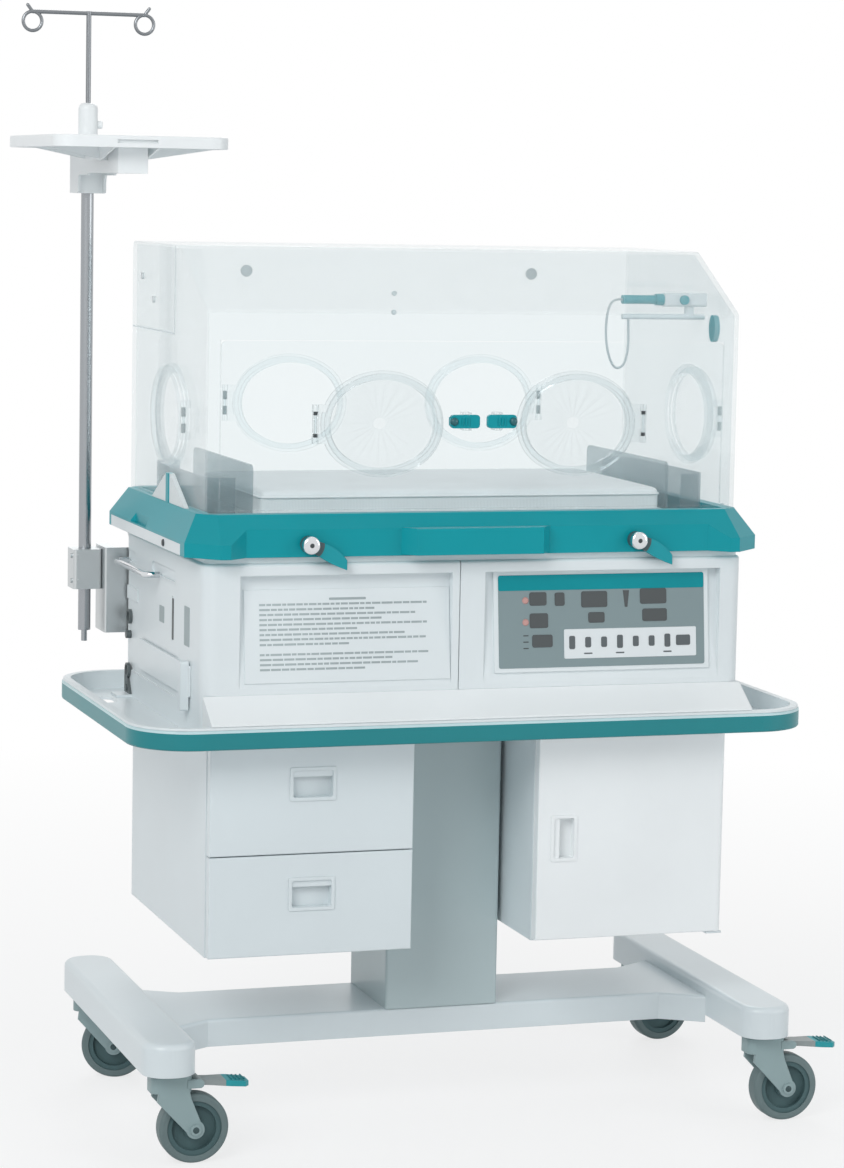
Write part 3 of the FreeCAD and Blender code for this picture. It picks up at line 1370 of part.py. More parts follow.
def equipment_shelf():
    """The shelf: a dished slab with a slot in its front edge and tapered ribs below."""
    middle = pole_x + shelf_shift
    x0, x1 = middle - shelf_width / 2, middle + shelf_width / 2
    z0, z1 = arm_top, arm_top + shelf_thick
    slab = upright_block(x0, x1, shelf_front, shelf_back, z0, z1, shelf_corner)
    slab = round_edges(slab, 2.5, at_height(z1))
    rim = shelf_rim
    dish = upright_block(x0 + rim, x1 - rim, shelf_front + rim, shelf_back - rim, z1 - shelf_dish, z1 + 1,
                         shelf_corner - rim)
    under = upright_block(x0 + rim, x1 - rim, shelf_front + rim, shelf_back - rim, z0 - 1, z1 - shelf_dish - 4,
                          shelf_corner - rim)
    pad = block(pole_x - arm_width / 2 - 12, pole_x + arm_width / 2 + 12, pole_y - arm_length - 8, shelf_back - 4,
                z0, z1 - shelf_dish - 3)
    body = fuse([slab.cut(dish).cut(under), pad])
    arm_x0, arm_x1 = pole_x - arm_width / 2 - rest_gap, pole_x + arm_width / 2 + rest_gap
    pieces = [body]
    for y in (shelf_front + rib_spread, shelf_front + 2 * rib_spread):
        pieces.append(front([(arm_x0, z0 - rib_depth), (arm_x0, z0 + 6), (x0 + 4, z0 + 6), (x0 + 4, z0)],
                            y, y + rib_thick))
        pieces.append(front([(arm_x1, z0 - rib_depth), (arm_x1, z0 + 6), (x1 - 4, z0 + 6), (x1 - 4, z0)],
                            y, y + rib_thick))
    for x in (pole_x - 34, pole_x + 30):
        pieces.append(side([(shelf_front + 4, z0), (shelf_front + 4, z0 + 6), (shelf_front + 2 * rib_spread, z0 + 6),
                            (shelf_front + 2 * rib_spread, z0 - rib_depth), (shelf_front + rib_spread, z0 - rib_depth)],
                           x, x + rib_thick))
    body = fuse(pieces)
    slot = block(pole_x - grip_slot_width / 2, pole_x + grip_slot_width / 2, shelf_front - 1, shelf_front + 5,
                 z1 - 11, z1 - 11 + grip_slot_height)
    arm_space = block(arm_x0 + rest_gap, arm_x1 - rest_gap, pole_y - arm_length, shelf_back + 9, z0 - rib_depth - 1, z0)
    return cut(body, slot, arm_space, rod((pole_x, pole_y, z0 - 1), (0, 0, 1), pole_radius + 0.8, shelf_thick + 2))


def pole_collar():
    """The plastic collar on the pole's top that grips the thin rod."""
    body = rod((pole_x, pole_y, collar_low), (0, 0, 1), collar_radius, collar_high - collar_low)
    body = round_edges(body, 9.0, lambda e: e.Closed and at_height(collar_high)(e))
    knob = rod((pole_x + collar_radius - 3, pole_y, collar_low + 15), (1, 0, 0), 6.0, 10)
    knob = round_edges(knob, 1.5, lambda e: e.Closed and e.BoundBox.XMin > pole_x + collar_radius)
    body = fuse([body, knob])
    body = body.cut(rod((pole_x, pole_y, collar_low - 1), (0, 0, 1), pole_radius, pole_high - collar_low + 1))
    return body.cut(rod((pole_x, pole_y, collar_low - 1), (0, 0, 1), rod_radius + running, 2 * (collar_high - collar_low)))


def drip_rod():
    """The thin rod with its cross bar and two ring hooks."""
    pieces = [rod((pole_x, pole_y, rod_low), (0, 0, 1), rod_radius, rod_top - rod_low)]
    reach = hook_reach
    pieces.append(rod((pole_x - reach, pole_y, rod_top - cross_radius), (1, 0, 0), cross_radius, 2 * reach))
    for sign in (-1, 1):
        x = pole_x + sign * reach
        z = rod_top - cross_radius - hook_radius
        pieces.append(Part.makeTorus(hook_radius, hook_wire, Vector(x, pole_y, z), Vector(0, 1, 0)))
        lean = Vector(sign * 0.75, 0, 1).normalize()
        foot = Vector(x, pole_y, rod_top - cross_radius)
        pieces.append(Part.makeCylinder(hook_wire, hook_tail, foot, lean))
        pieces.append(Part.makeSphere(hook_wire, foot + lean * hook_tail))
    return fuse(pieces)


# Cabinets

def cupboard_door(x0, x1):
    """The cupboard door: rounded hinge edge, upright pull and two pivot pins."""
    z0, z1 = cabinet_low + pivot_plate + rest_gap, tray_bottom - pivot_plate - rest_gap
    half = front_thick / 2
    hinge_line = (x1 - half, cabinet_front + half)
    slab = block(x0, hinge_line[0], cabinet_front, cabinet_front + front_thick, z0, z1)
    slab = round_edges(slab, front_edge, lambda e: abs(e.BoundBox.YMax - cabinet_front) < 1e-3
                       and e.BoundBox.XMin < x1 - front_thick)
    edge = rod((hinge_line[0], hinge_line[1], z0), (0, 0, 1), half, z1 - z0)
    face = fuse([slab, edge])
    px0 = x0 + 25.0
    px1 = px0 + 0.8 * pull_height
    pz0 = z0 + 120.0
    pz1 = pz0 + pull_width
    lip = block(px0, px0 + pull_lip, cabinet_front + 1, cabinet_front + 4, pz0, pz1)
    face = fuse([face, pull_rim(px0, px1, pz0, pz1)]).cut(pull_cut(px0, px1, pz0, pz1))
    pin = rod((hinge_line[0], hinge_line[1], cabinet_low + 0.5), (0, 0, 1), pivot_pin, tray_bottom - cabinet_low - 1)
    inside = rod((hinge_line[0], hinge_line[1], z0 + 5), (0, 0, 1), pivot_pin + 0.01, z1 - z0 - 10)
    return fuse([face, lip, pin.cut(inside)]), hinge_line


def save(name, shape):
    """Write one piece and say what it is."""
    good = shape.isValid()
    shape.exportStep("parts/%s.step" % name)
    print("%-24s solids %d volume %.0f %s" % (name, len(shape.Solids), shape.Volume, "" if good else "NOT VALID"))


def main():
    os.makedirs("parts", exist_ok=True)
    save("base_frame", Part.makeCompound([leg(-1), leg(1), cross_beam()]))
    save("caster_stems", caster_stems())
    for corner in CORNERS:
        has_pedal = corner.startswith("front")
        save("caster_fork_" + corner, placed_caster(caster_fork(has_pedal), corner))
        save("caster_wheel_" + corner, placed_caster(caster_wheel(), corner))
        if has_pedal:
            save("brake_pedal_" + corner, placed_caster(brake_pedal(), corner))
    save("column", column())
    save("tray_pan", tray_pan())
    save("tray_bumper", tray_bumper())

    left0, left1 = -cabinet_reach, column_left - cabinet_gap
    right0, right1 = column_right + cabinet_gap, cabinet_reach
    wall_left, wall_right = left0 + cabinet_wall, left1 - cabinet_wall
    split = cabinet_low + lower_front_height
    fronts = {"drawer_lower": (cabinet_low + front_gap, split - front_gap / 2),
              "drawer_upper": (split + front_gap / 2, tray_bottom - front_gap)}
    runners = []
    for name, (z0, z1) in fronts.items():
        body, bottom = drawer(z0, z1, left0 + 1, left1 - 1, wall_left, wall_right)
        save(name, body)
        top = bottom - rest_gap
        y0, y1 = shell_front + 4, shell_front + drawer_depth
        deep = drawer_side_gap + runner_ledge
        for xa, xb, xw in ((wall_left, wall_left + deep, wall_left), (wall_right - deep, wall_right, wall_right - runner_plate)):
            runners.append(block(xa, xb, y0, y1, top - runner_plate, top))
            runners.append(block(xw, xw + runner_plate, y0, y1, top - runner_plate, top + 14))
    save("drawer_cabinet", fuse([cabinet_shell(left0, left1)] + runners))

    door, hinge_line = cupboard_door(right0 + 1, right1 - 1)
    save("cupboard_door", door)
    shell = cabinet_shell(right0, right1)
    board_z = cabinet_low + 0.5 * cabinet_height
    board = block(right0 + 1, right1 - 1, shell_front + 10, cabinet_back - 1, board_z, board_z + shelf_board)
    pieces = [shell, board]
    for z0 in (cabinet_low, tray_bottom - pivot_plate):
        plate = block(right1 - 24, right1, cabinet_front + 2, shell_front + 6, z0, z0 + pivot_plate)
        pieces.append(plate)
    shell = fuse(pieces)
    shell = shell.cut(rod((hinge_line[0], hinge_line[1], cabinet_low - 1), (0, 0, 1), pivot_pin + pin_clear,
                          cabinet_height + 2))
    save("cupboard_cabinet", shell)

    save("housing", housing())
    save("control_module", control_module())
    save("front_ledge", front_ledge())
    save("instruction_plate", leaning_plate(plate_left, plate_right, panel_z0, panel_z1,
                                            brow_low + plate_low, brow_low + plate_high, plate_thick))
    save("control_fascia", leaning_plate(fascia_left, fascia_right, panel_z0, panel_z1,
                                         brow_low + fascia_low, brow_low + fascia_high, fascia_thick))
    save("side_fittings", side_fittings())
    save("side_rail", side_rail())
    save("reservoir", reservoir())
    save("deck_plate", deck_plate())
    save("canopy_hinges", canopy_hinges())
    save("air_baffles", air_baffles())

    save("bed_tray", bed_tray())
    save("mattress", mattress())
    save("bed_end_walls", end_walls())
    save("bed_handles", bed_handles())

    save("canopy_frame", fuse([canopy_frame()] + lock_boss_pieces()))
    save("canopy_side_strips", side_strips())
    save("hood_shell", hood_shell())
    save("hood_fittings", hood_fittings())
    save("hood_port_rings", Part.makeCompound([port_ring(n) for n in PORTS if not n.startswith("front")]))
    save("sensor_module", sensor_module())
    save("sensor_lead", sensor_lead())
    save("front_panel", front_panel())
    fronts = ("front_left", "front_right")
    save("front_port_rings", Part.makeCompound([port_ring(n) for n in fronts] + [latch_base(n) for n in fronts]))
    for name in PORTS:
        save("port_door_" + name, port_door(name))
    for name in fronts:
        save("port_latch_" + name, port_latch(name))
    save("canopy_lock_left", canopy_lock(lock_left))
    save("canopy_lock_right", canopy_lock(lock_right))

    save("pole_bracket", Part.makeCompound([pole_bracket(), pole_clamp()]))
    save("iv_pole", iv_pole())
    save("shelf_arm", shelf_arm())
    save("equipment_shelf", equipment_shelf())
    save("pole_collar", pole_collar())
    save("drip_rod", drip_rod())


main()
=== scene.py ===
# %% [markdown]
# # An infant incubator on its wheeled stand
# The hard parts come in as a fixed frame: every panel, tube and hinge is already the right size and in
# the right place. What is left is what an eye sees first: the camera, soft light, paint, clear acrylic,
# moulded plastic, the soft mattress, and the small printed and fitted pieces on the panels.

# %% Load the frame
import math
import json
import random
import bpy
import bmesh
from mathutils import Matrix, Vector

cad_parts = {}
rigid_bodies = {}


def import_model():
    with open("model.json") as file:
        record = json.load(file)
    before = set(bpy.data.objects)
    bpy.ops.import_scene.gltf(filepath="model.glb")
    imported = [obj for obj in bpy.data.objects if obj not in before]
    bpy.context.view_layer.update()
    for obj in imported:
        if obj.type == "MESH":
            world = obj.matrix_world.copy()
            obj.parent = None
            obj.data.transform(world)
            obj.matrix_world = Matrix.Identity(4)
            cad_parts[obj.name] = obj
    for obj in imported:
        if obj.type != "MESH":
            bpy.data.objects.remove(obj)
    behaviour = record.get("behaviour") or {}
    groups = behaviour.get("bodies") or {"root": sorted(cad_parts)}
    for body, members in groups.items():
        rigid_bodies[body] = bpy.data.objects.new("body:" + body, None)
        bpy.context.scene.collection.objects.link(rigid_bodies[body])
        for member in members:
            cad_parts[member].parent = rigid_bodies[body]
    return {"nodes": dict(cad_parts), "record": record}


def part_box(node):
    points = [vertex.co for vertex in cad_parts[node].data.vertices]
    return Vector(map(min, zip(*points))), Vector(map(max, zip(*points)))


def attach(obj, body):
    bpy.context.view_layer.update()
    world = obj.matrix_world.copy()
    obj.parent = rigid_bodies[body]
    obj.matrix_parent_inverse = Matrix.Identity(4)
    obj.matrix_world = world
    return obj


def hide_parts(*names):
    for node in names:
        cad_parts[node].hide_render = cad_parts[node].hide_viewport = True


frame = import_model()
nodes = frame["nodes"]
spec_of = {j["name"]: j for j in frame["record"]["behaviour"]["joints"]}
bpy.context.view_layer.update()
MM = 0.001

# %% [markdown]
# ## Where the photographer stood
# The picture was taken from the front left, a little above the tray, with a long lens. The camera is
# turned by three angles: round the upright axis, down to the floor, and a slight roll. A long lens keeps
# upright edges nearly parallel, which is why the stand looks so square.

# %% Camera
yaw, pitch, roll = 0.3185, -0.117, 0.0195    # radians
focal_length, film_width = 104.23, 36.0      # millimetres
stand_point = (-1.5678, -4.7270, 1.3647)     # metres
farthest_seen = 50                           # metres
ahead = Vector((math.sin(yaw) * math.cos(pitch), math.cos(yaw) * math.cos(pitch), math.sin(pitch)))
level = Vector((math.cos(yaw), -math.sin(yaw), 0.0))
upward = level.cross(ahead)
right = level * math.cos(roll) + upward * math.sin(roll)
top = upward * math.cos(roll) - level * math.sin(roll)
lens = bpy.data.cameras.new("photo_camera")
lens.lens = focal_length
lens.sensor_width = film_width
lens.clip_end = farthest_seen
camera = bpy.data.objects.new("photo_camera", lens)
bpy.context.collection.objects.link(camera)
facing = Matrix((right, top, -ahead)).transposed().to_4x4()
camera.matrix_world = Matrix.Translation(stand_point) @ facing
bpy.context.scene.camera = camera
print("camera at", [round(v, 3) for v in camera.location])

# %% [markdown]
# ## Small helpers for shader nodes
# A material is a little network. These helpers make a node, fill in its inputs by name and join sockets,
# so that each finish below reads as a short recipe. The last three are small networks that come back:
# a bump, a blend of two shaders, and a test for the rays that show a surface to the camera.

# %% Node helpers


def add(tree, kind, **values):
    """Make a node and set its inputs or its own settings by name."""
    node = tree.nodes.new(kind)
    for name, value in values.items():
        label = name.replace("_", " ").title() if name != "IOR" else name
        if label in node.inputs:
            node.inputs[label].default_value = value
        else:
            setattr(node, name, value)
    return node


def fill(node, values):
    """Set a node's inputs, each given by its label or its place."""
    for label, value in values.items():
        node.inputs[label].default_value = value


def join(tree, out_node, out_name, in_node, in_name):
    """Join an output socket to an input socket, each given by its label or its place."""
    tree.links.new(out_node.outputs[out_name], in_node.inputs[in_name])


def join_all(tree, links):
    """Join sockets listed as (node, output, node, input)."""
    for link in links:
        join(tree, *link)


def new_group(name, inputs, outputs):
    """A shader node group with number or vector inputs and number outputs."""
    tree = bpy.data.node_groups.new(name, "ShaderNodeTree")
    for label, value in inputs.items():
        kind = "NodeSocketVector" if isinstance(value, tuple) else "NodeSocketFloat"
        socket = tree.interface.new_socket(label, in_out="INPUT", socket_type=kind)
        socket.default_value = value
    for label in outputs:
        tree.interface.new_socket(label, in_out="OUTPUT", socket_type="NodeSocketFloat")
    return tree, tree.nodes.new("NodeGroupInput"), tree.nodes.new("NodeGroupOutput")


def place_group(tree, group, **values):
    """Put a group into a material and set its inputs."""
    node = tree.nodes.new("ShaderNodeGroup")
    node.node_tree = group
    fill(node, values)
    return node


def ramp(tree, stops):
    """A colour ramp from (place, grey) or (place, colour) stops."""
    node = tree.nodes.new("ShaderNodeValToRGB")
    for i, (place, value) in enumerate(stops):
        colour = (value, value, value, 1) if isinstance(value, (int, float)) else (*value, 1)
        element = node.color_ramp.elements[i] if i < 2 else node.color_ramp.elements.new(place)
        element.position = place
        element.color = colour
    return node


def bump_from(tree, node, socket, shader, strength, depth):
    """Raise a shader's surface by a node's output; the depth is in metres."""
    bump = add(tree, "ShaderNodeBump", strength=strength, distance=depth)
    join(tree, node, socket, bump, "Height")
    join(tree, bump, "Normal", shader, "Normal")
    return bump


def blend_shaders(tree, amount, first, second, output):
    """Go from one shader to another by a node's amount, and join the result to the output."""
    blend = add(tree, "ShaderNodeMixShader")
    for i, node in enumerate((amount, first, second)):
        join(tree, node, 0, blend, i)
    join(tree, blend, 0, output, "Surface")


def showing_rays(tree):
    """1 on rays that show a surface, straight, in a gloss or through a clear part; 0 on the others."""
    path = add(tree, "ShaderNodeLightPath")
    straight = add(tree, "ShaderNodeMath", operation="MAXIMUM")
    showing = add(tree, "ShaderNodeMath", operation="MAXIMUM")
    join(tree, path, "Is Camera Ray", straight, 0)
    join(tree, path, "Is Glossy Ray", straight, 1)
    join(tree, straight, 0, showing, 0)
    join(tree, path, "Is Transmission Ray", showing, 1)
    return showing


MIX_FACTOR, MIX_A, MIX_B, MIX_COLOUR = 0, 6, 7, 2    # places of a colour Mix node's sockets


# %% [markdown]
# ## Effects that several finishes share
# Moulded plastic and powder paint are never mirror flat: light catches a fine pebble and the gloss drifts
# a little from place to place. A shared group makes both from noise on the object's own coordinates.
# A second group tells how far a point lies from an axis, which finds a tyre on its wheel. A third marks
# what lies inside a box, for a tip or a stripe in another colour.

# %% Shared node groups
grain, g_in, g_out = new_group("surface_grain", {"Scale": 900.0, "Drift": 6.0, "Rough": 0.4, "Spread": 0.08},
                               ["Height", "Roughness", "Mottle"])
place = add(grain, "ShaderNodeTexCoord")
fine = add(grain, "ShaderNodeTexNoise", detail=3.0)
broad = add(grain, "ShaderNodeTexNoise", detail=4.0)
for noise, label in ((fine, "Scale"), (broad, "Drift")):
    join(grain, place, "Object", noise, "Vector")
    join(grain, g_in, label, noise, "Scale")
centred = add(grain, "ShaderNodeMath", operation="SUBTRACT")
fill(centred, {1: 0.5})
scaled = add(grain, "ShaderNodeMath", operation="MULTIPLY_ADD")
join_all(grain, [
    (broad, "Fac", centred, 0), (centred, 0, scaled, 0), (g_in, "Spread", scaled, 1),
    (g_in, "Rough", scaled, 2), (fine, "Fac", g_out, "Height"), (scaled, 0, g_out, "Roughness"),
    (broad, "Fac", g_out, "Mottle")])

round_axis, r_in, r_out = new_group("distance_from_axis", {"Point": (0.0, 0.0, 0.0), "Axis": (0.0, 1.0, 0.0)},
                                    ["Distance"])
spot = add(round_axis, "ShaderNodeTexCoord")
offset = add(round_axis, "ShaderNodeVectorMath", operation="SUBTRACT")
across = add(round_axis, "ShaderNodeVectorMath", operation="CROSS_PRODUCT")
size = add(round_axis, "ShaderNodeVectorMath", operation="LENGTH")
join_all(round_axis, [
    (spot, "Object", offset, 0), (r_in, "Point", offset, 1), (offset, 0, across, 0),
    (r_in, "Axis", across, 1), (across, 0, size, 0), (size, "Value", r_out, "Distance")])

BEYOND = 9.0    # metres, past every part of the scene
inside_box, b_in, b_out = new_group("inside_box", {"Low": (-BEYOND,) * 3, "High": (BEYOND,) * 3}, ["Mask"])
where = add(inside_box, "ShaderNodeTexCoord")
over = add(inside_box, "ShaderNodeVectorMath", operation="SUBTRACT")
under = add(inside_box, "ShaderNodeVectorMath", operation="SUBTRACT")
least = add(inside_box, "ShaderNodeVectorMath", operation="MINIMUM")
split = add(inside_box, "ShaderNodeSeparateXYZ")
least_xy = add(inside_box, "ShaderNodeMath", operation="MINIMUM")
least_all = add(inside_box, "ShaderNodeMath", operation="MINIMUM")
positive = add(inside_box, "ShaderNodeMath", operation="GREATER_THAN")
fill(positive, {1: 0.0})
join_all(inside_box, [
    (where, "Object", over, 0), (b_in, "Low", over, 1), (b_in, "High", under, 0),
    (where, "Object", under, 1), (over, 0, least, 0), (under, 0, least, 1), (least, 0, split, 0),
    (split, "X", least_xy, 0), (split, "Y", least_xy, 1), (least_xy, 0, least_all, 0),
    (split, "Z", least_all, 1), (least_all, 0, positive, 0), (positive, 0, b_out, "Mask")])
print("node groups", [g.name for g in bpy.data.node_groups])

# %% [markdown]
# ## Moulded plastic and powder paint
# Both are one Principled shader. The grain group feeds the bump and the roughness, and the broad noise
# tints the colour by a few hundredths, as handling and age do. A small Bevel node rounds the light on
# sharp edges, which a real moulding always has.

# %% The moulded finish


def start_material(name):
    """An empty material with a Principled shader joined to its output."""
    material = bpy.data.materials.new(name)
    material.use_nodes = True
    tree = material.node_tree
    tree.nodes.clear()
    shader = add(tree, "ShaderNodeBsdfPrincipled")
    output = add(tree, "ShaderNodeOutputMaterial")
    join(tree, shader, "BSDF", output, "Surface")
    return material, tree, shader, output


def moulded(name, colour, rough=0.42, spread=0.10, scale=1100.0, depth=0.00004, edge=0.0012, tint=0.05,
            coat=0.0, second=None, mask=None, gleam=0.5):
    """Plastic or paint; a second colour may show where a mask is 1."""
    material, tree, shader, _ = start_material(name)
    surface = place_group(tree, grain, Scale=scale, Drift=5.0, Rough=rough, Spread=spread)
    shades = []
    for tone in (colour, second) if second else (colour,):
        shade = ramp(tree, [(0.3, tuple(c * (1 - tint) for c in tone)), (0.7, tone)])
        join(tree, surface, "Mottle", shade, "Fac")
        shades.append(shade)
    if second:
        mix = add(tree, "ShaderNodeMix", data_type="RGBA")
        tree.links.new(mask(tree), mix.inputs[MIX_FACTOR])
        join(tree, shades[0], "Color", mix, MIX_A)
        join(tree, shades[1], "Color", mix, MIX_B)
        join(tree, mix, MIX_COLOUR, shader, "Base Color")
    else:
        join(tree, shades[0], "Color", shader, "Base Color")
    join(tree, surface, "Roughness", shader, "Roughness")
    bump = bump_from(tree, surface, "Height", shader, 0.6, depth)
    soften = add(tree, "ShaderNodeBevel", samples=4, radius=edge)
    join(tree, soften, "Normal", bump, "Normal")
    fill(shader, {"Coat Weight": coat, "Coat Roughness": 0.12, "Specular IOR Level": gleam})
    return material


def inside(*boxes):
    """A mask for what lies in any of the boxes, for a second colour; None leaves a side open."""
    def make(tree):
        found = None
        for low, high in boxes:
            low = tuple(-BEYOND if v is None else v for v in low)
            high = tuple(BEYOND if v is None else v for v in high)
            mask = place_group(tree, inside_box, Low=low, High=high).outputs["Mask"]
            if found is None:
                found = mask
                continue
            either = add(tree, "ShaderNodeMath", operation="MAXIMUM")
            tree.links.new(found, either.inputs[0])
            tree.links.new(mask, either.inputs[1])
            found = either.outputs[0]
        return found
    return make


def outside_radius(point, axis, radius):
    """A mask for what lies further than a radius from an axis, for a tyre."""
    def make(tree):
        far = place_group(tree, round_axis, Point=point, Axis=axis)
        test = add(tree, "ShaderNodeMath", operation="GREATER_THAN")
        fill(test, {1: radius})
        join(tree, far, "Distance", test, 0)
        return test.outputs[0]
    return make


PALE = (0.745, 0.815, 0.840)
WHITE = (0.80, 0.86, 0.88)
TEAL = (0.002, 0.335, 0.390)
DEEP_TEAL = (0.002, 0.235, 0.262)
GREY = (0.36, 0.41, 0.41)
DARK = (0.035, 0.045, 0.05)

# %% [markdown]
# ## Clear acrylic
# The hood is 5 mm cast sheet, so thin that it hardly bends what is seen through it. Full refraction
# would trap light in its edges and paint them black. Here the eye looks straight through a faint tint,
# and the surface itself comes in as the view grazes it: soft grey at rims and bends, almost nothing
# face on. A shadow ray always passes, so the bed under the hood stays bright.

# %% The clear finishes


def acrylic(name, colour, rough=0.05, tint=(0.985, 0.995, 0.997), haze=0.03, edge=0.5):
    """A clear sheet: a straight look through a tint, its surface rising from haze to edge at its rims."""
    material, tree, shader, output = start_material(name)
    fill(shader, {"Base Color": (*colour, 1), "Transmission Weight": 0.35, "IOR": 1.45})
    surface = place_group(tree, grain, Scale=60.0, Drift=9.0, Rough=rough, Spread=0.03)
    join(tree, surface, "Roughness", shader, "Roughness")
    bump_from(tree, surface, "Mottle", shader, 0.15, 0.0002)
    clear = add(tree, "ShaderNodeBsdfTransparent")
    light = add(tree, "ShaderNodeLightPath")
    through = add(tree, "ShaderNodeMix", data_type="RGBA")
    fill(through, {MIX_A: (*tint, 1), MIX_B: (1, 1, 1, 1)})
    join(tree, light, "Is Shadow Ray", through, MIX_FACTOR)
    join(tree, through, MIX_COLOUR, clear, "Color")
    view = add(tree, "ShaderNodeLayerWeight", blend=0.22)
    amount = add(tree, "ShaderNodeMapRange", to_min=haze, to_max=edge)
    join(tree, view, "Facing", amount, "Value")
    unshadowed = add(tree, "ShaderNodeMath", operation="SUBTRACT")
    fill(unshadowed, {0: 1.0})
    join(tree, light, "Is Shadow Ray", unshadowed, 1)
    share = add(tree, "ShaderNodeMath", operation="MULTIPLY")
    join(tree, amount, "Result", share, 0)
    join(tree, unshadowed, 0, share, 1)
    blend_shaders(tree, share, clear, shader, output)
    return material


# %% [markdown]
# ## Metals, rubber and cloth
# Drawn tube has fine lines along its length, so its noise is stretched: thousands of cells round the
# tube, few along it. Chrome is nearly a mirror with the faintest haze. The sheet on the mattress is a
# plain weave: two sets of fine waves at right angles.

# %% Metal and cloth finishes


def metal(name, colour, rough, stretch=(1, 1, 1), depth=0.00002, spread=0.12):
    """Bare metal with a grain that may be drawn out along an axis."""
    material, tree, shader, _ = start_material(name)
    fill(shader, {"Base Color": (*colour, 1), "Metallic": 1.0})
    spot = add(tree, "ShaderNodeTexCoord")
    pull = add(tree, "ShaderNodeMapping", scale=stretch)
    lines = add(tree, "ShaderNodeTexNoise", scale=40.0, detail=5.0)
    join(tree, spot, "Object", pull, "Vector")
    join(tree, pull, "Vector", lines, "Vector")
    gloss = add(tree, "ShaderNodeMapRange", to_min=max(0.02, rough - spread / 2), to_max=rough + spread / 2)
    join(tree, lines, "Fac", gloss, "Value")
    join(tree, gloss, "Result", shader, "Roughness")
    bump_from(tree, lines, "Fac", shader, 0.4, depth)
    return material


def woven(name, colour, threads=900.0):
    """A plain woven cotton."""
    material, tree, shader, _ = start_material(name)
    spot = add(tree, "ShaderNodeTexCoord")
    cross = add(tree, "ShaderNodeMath", operation="MAXIMUM")
    for i, way in enumerate("XY"):
        wave = add(tree, "ShaderNodeTexWave", scale=threads / 6.28, distortion=0.6, bands_direction=way)
        join(tree, spot, "Object", wave, "Vector")
        join(tree, wave, "Fac", cross, i)
    soil = add(tree, "ShaderNodeTexNoise", scale=14.0, detail=3.0)
    join(tree, spot, "Object", soil, "Vector")
    shade = ramp(tree, [(0.25, tuple(c * 0.93 for c in colour)), (0.75, colour)])
    join(tree, soil, "Fac", shade, "Fac")
    join(tree, shade, "Color", shader, "Base Color")
    bump_from(tree, cross, 0, shader, 0.5, 0.0003)
    fill(shader, {"Roughness": 0.9, "Sheen Weight": 0.25})
    return material


# %% Make the finishes
CLEAR = (0.66, 0.715, 0.73)
shell_gloss = {"rough": 0.38, "scale": 1300, "depth": 0.00003, "coat": 0.12}
paint_gloss = {"rough": 0.34, "scale": 700, "depth": 0.00004, "coat": 0.2, "tint": 0.04}
drawn = {"stretch": (2, 2, 0.1), "depth": 0.000001, "spread": 0.05}
finish = {
    "shell": moulded("shell_white", WHITE, **shell_gloss),
    "pale": moulded("pale_moulding", (0.93, 0.965, 0.975), **shell_gloss),
    "paint": moulded("stand_paint", PALE, **paint_gloss),
    # the column's colour is the stand's paint darkened by painted shade, for its place under the tray between
    # the cabinets
    "column": moulded("column_shaded_paint", (0.50, 0.60, 0.615), **paint_gloss),
    "teal": moulded("teal_moulding", TEAL, rough=0.33, scale=1200, depth=0.00003, coat=0.02, tint=0.08,
                    gleam=0.22),
    "grey": moulded("grey_moulding", GREY, rough=0.45),
    "dark": moulded("dark_moulding", DARK, rough=0.4),
    "clear": acrylic("clear_acrylic", CLEAR, tint=(0.968, 0.983, 0.986), haze=0.025, edge=0.52),
    "door": acrylic("door_acrylic", (0.44, 0.49, 0.505), rough=0.08, haze=0.05, edge=0.82),
    "smoke": acrylic("smoke_acrylic", (0.50, 0.56, 0.58), rough=0.2, tint=(0.80, 0.84, 0.85), haze=0.22,
                     edge=0.6),
    "far_port": acrylic("rear_port_acrylic", CLEAR, rough=0.08, haze=0.03, edge=0.5),
    "steel": metal("drawn_steel", (0.36, 0.38, 0.40), 0.26, **drawn),
    "rod": metal("thin_rod_steel", (0.24, 0.255, 0.27), 0.30, **drawn),
    "chrome": metal("chrome_plate", (0.68, 0.70, 0.72), 0.10, spread=0.04),
    "alloy": metal("satin_alloy", (0.56, 0.59, 0.60), 0.38, stretch=(20, 1, 1)),
    "sheet": woven("cotton_sheet", (0.92, 0.95, 0.96)),
}
print("finishes", sorted(finish))

# %% [markdown]
# ## Two-colour parts
# Several mouldings change colour partway: the bumper has a pale line along its top edge, a pedal ends in
# a teal foot pad, a wheel has a soft tread on a hard core. Each gets a mask from its place, so the colour
# break is exactly where the part has it.

# %% Finishes with a second colour
OPEN = (None, None, None)    # a box's corner that leaves three sides open
line_height = 4 * MM         # the bumper's pale line
tread_starts = 39 * MM       # from a wheel's axle
foot_pad = 34 * MM           # the coloured end of a pedal
lever_starts = 21 * MM       # from a lock's pivot, past its dark middle
skin = 1 * MM                # past this the hood's fittings are on its outside
plug_end = 64 * MM           # the teal plug's length on the sensor bar
plug_height = 20 * MM
bar_front = 3.8 * MM         # the teal layer on the bar's front
grip_height, foot_height = 20.5 * MM, 4 * MM    # white ends of the fittings on the left side

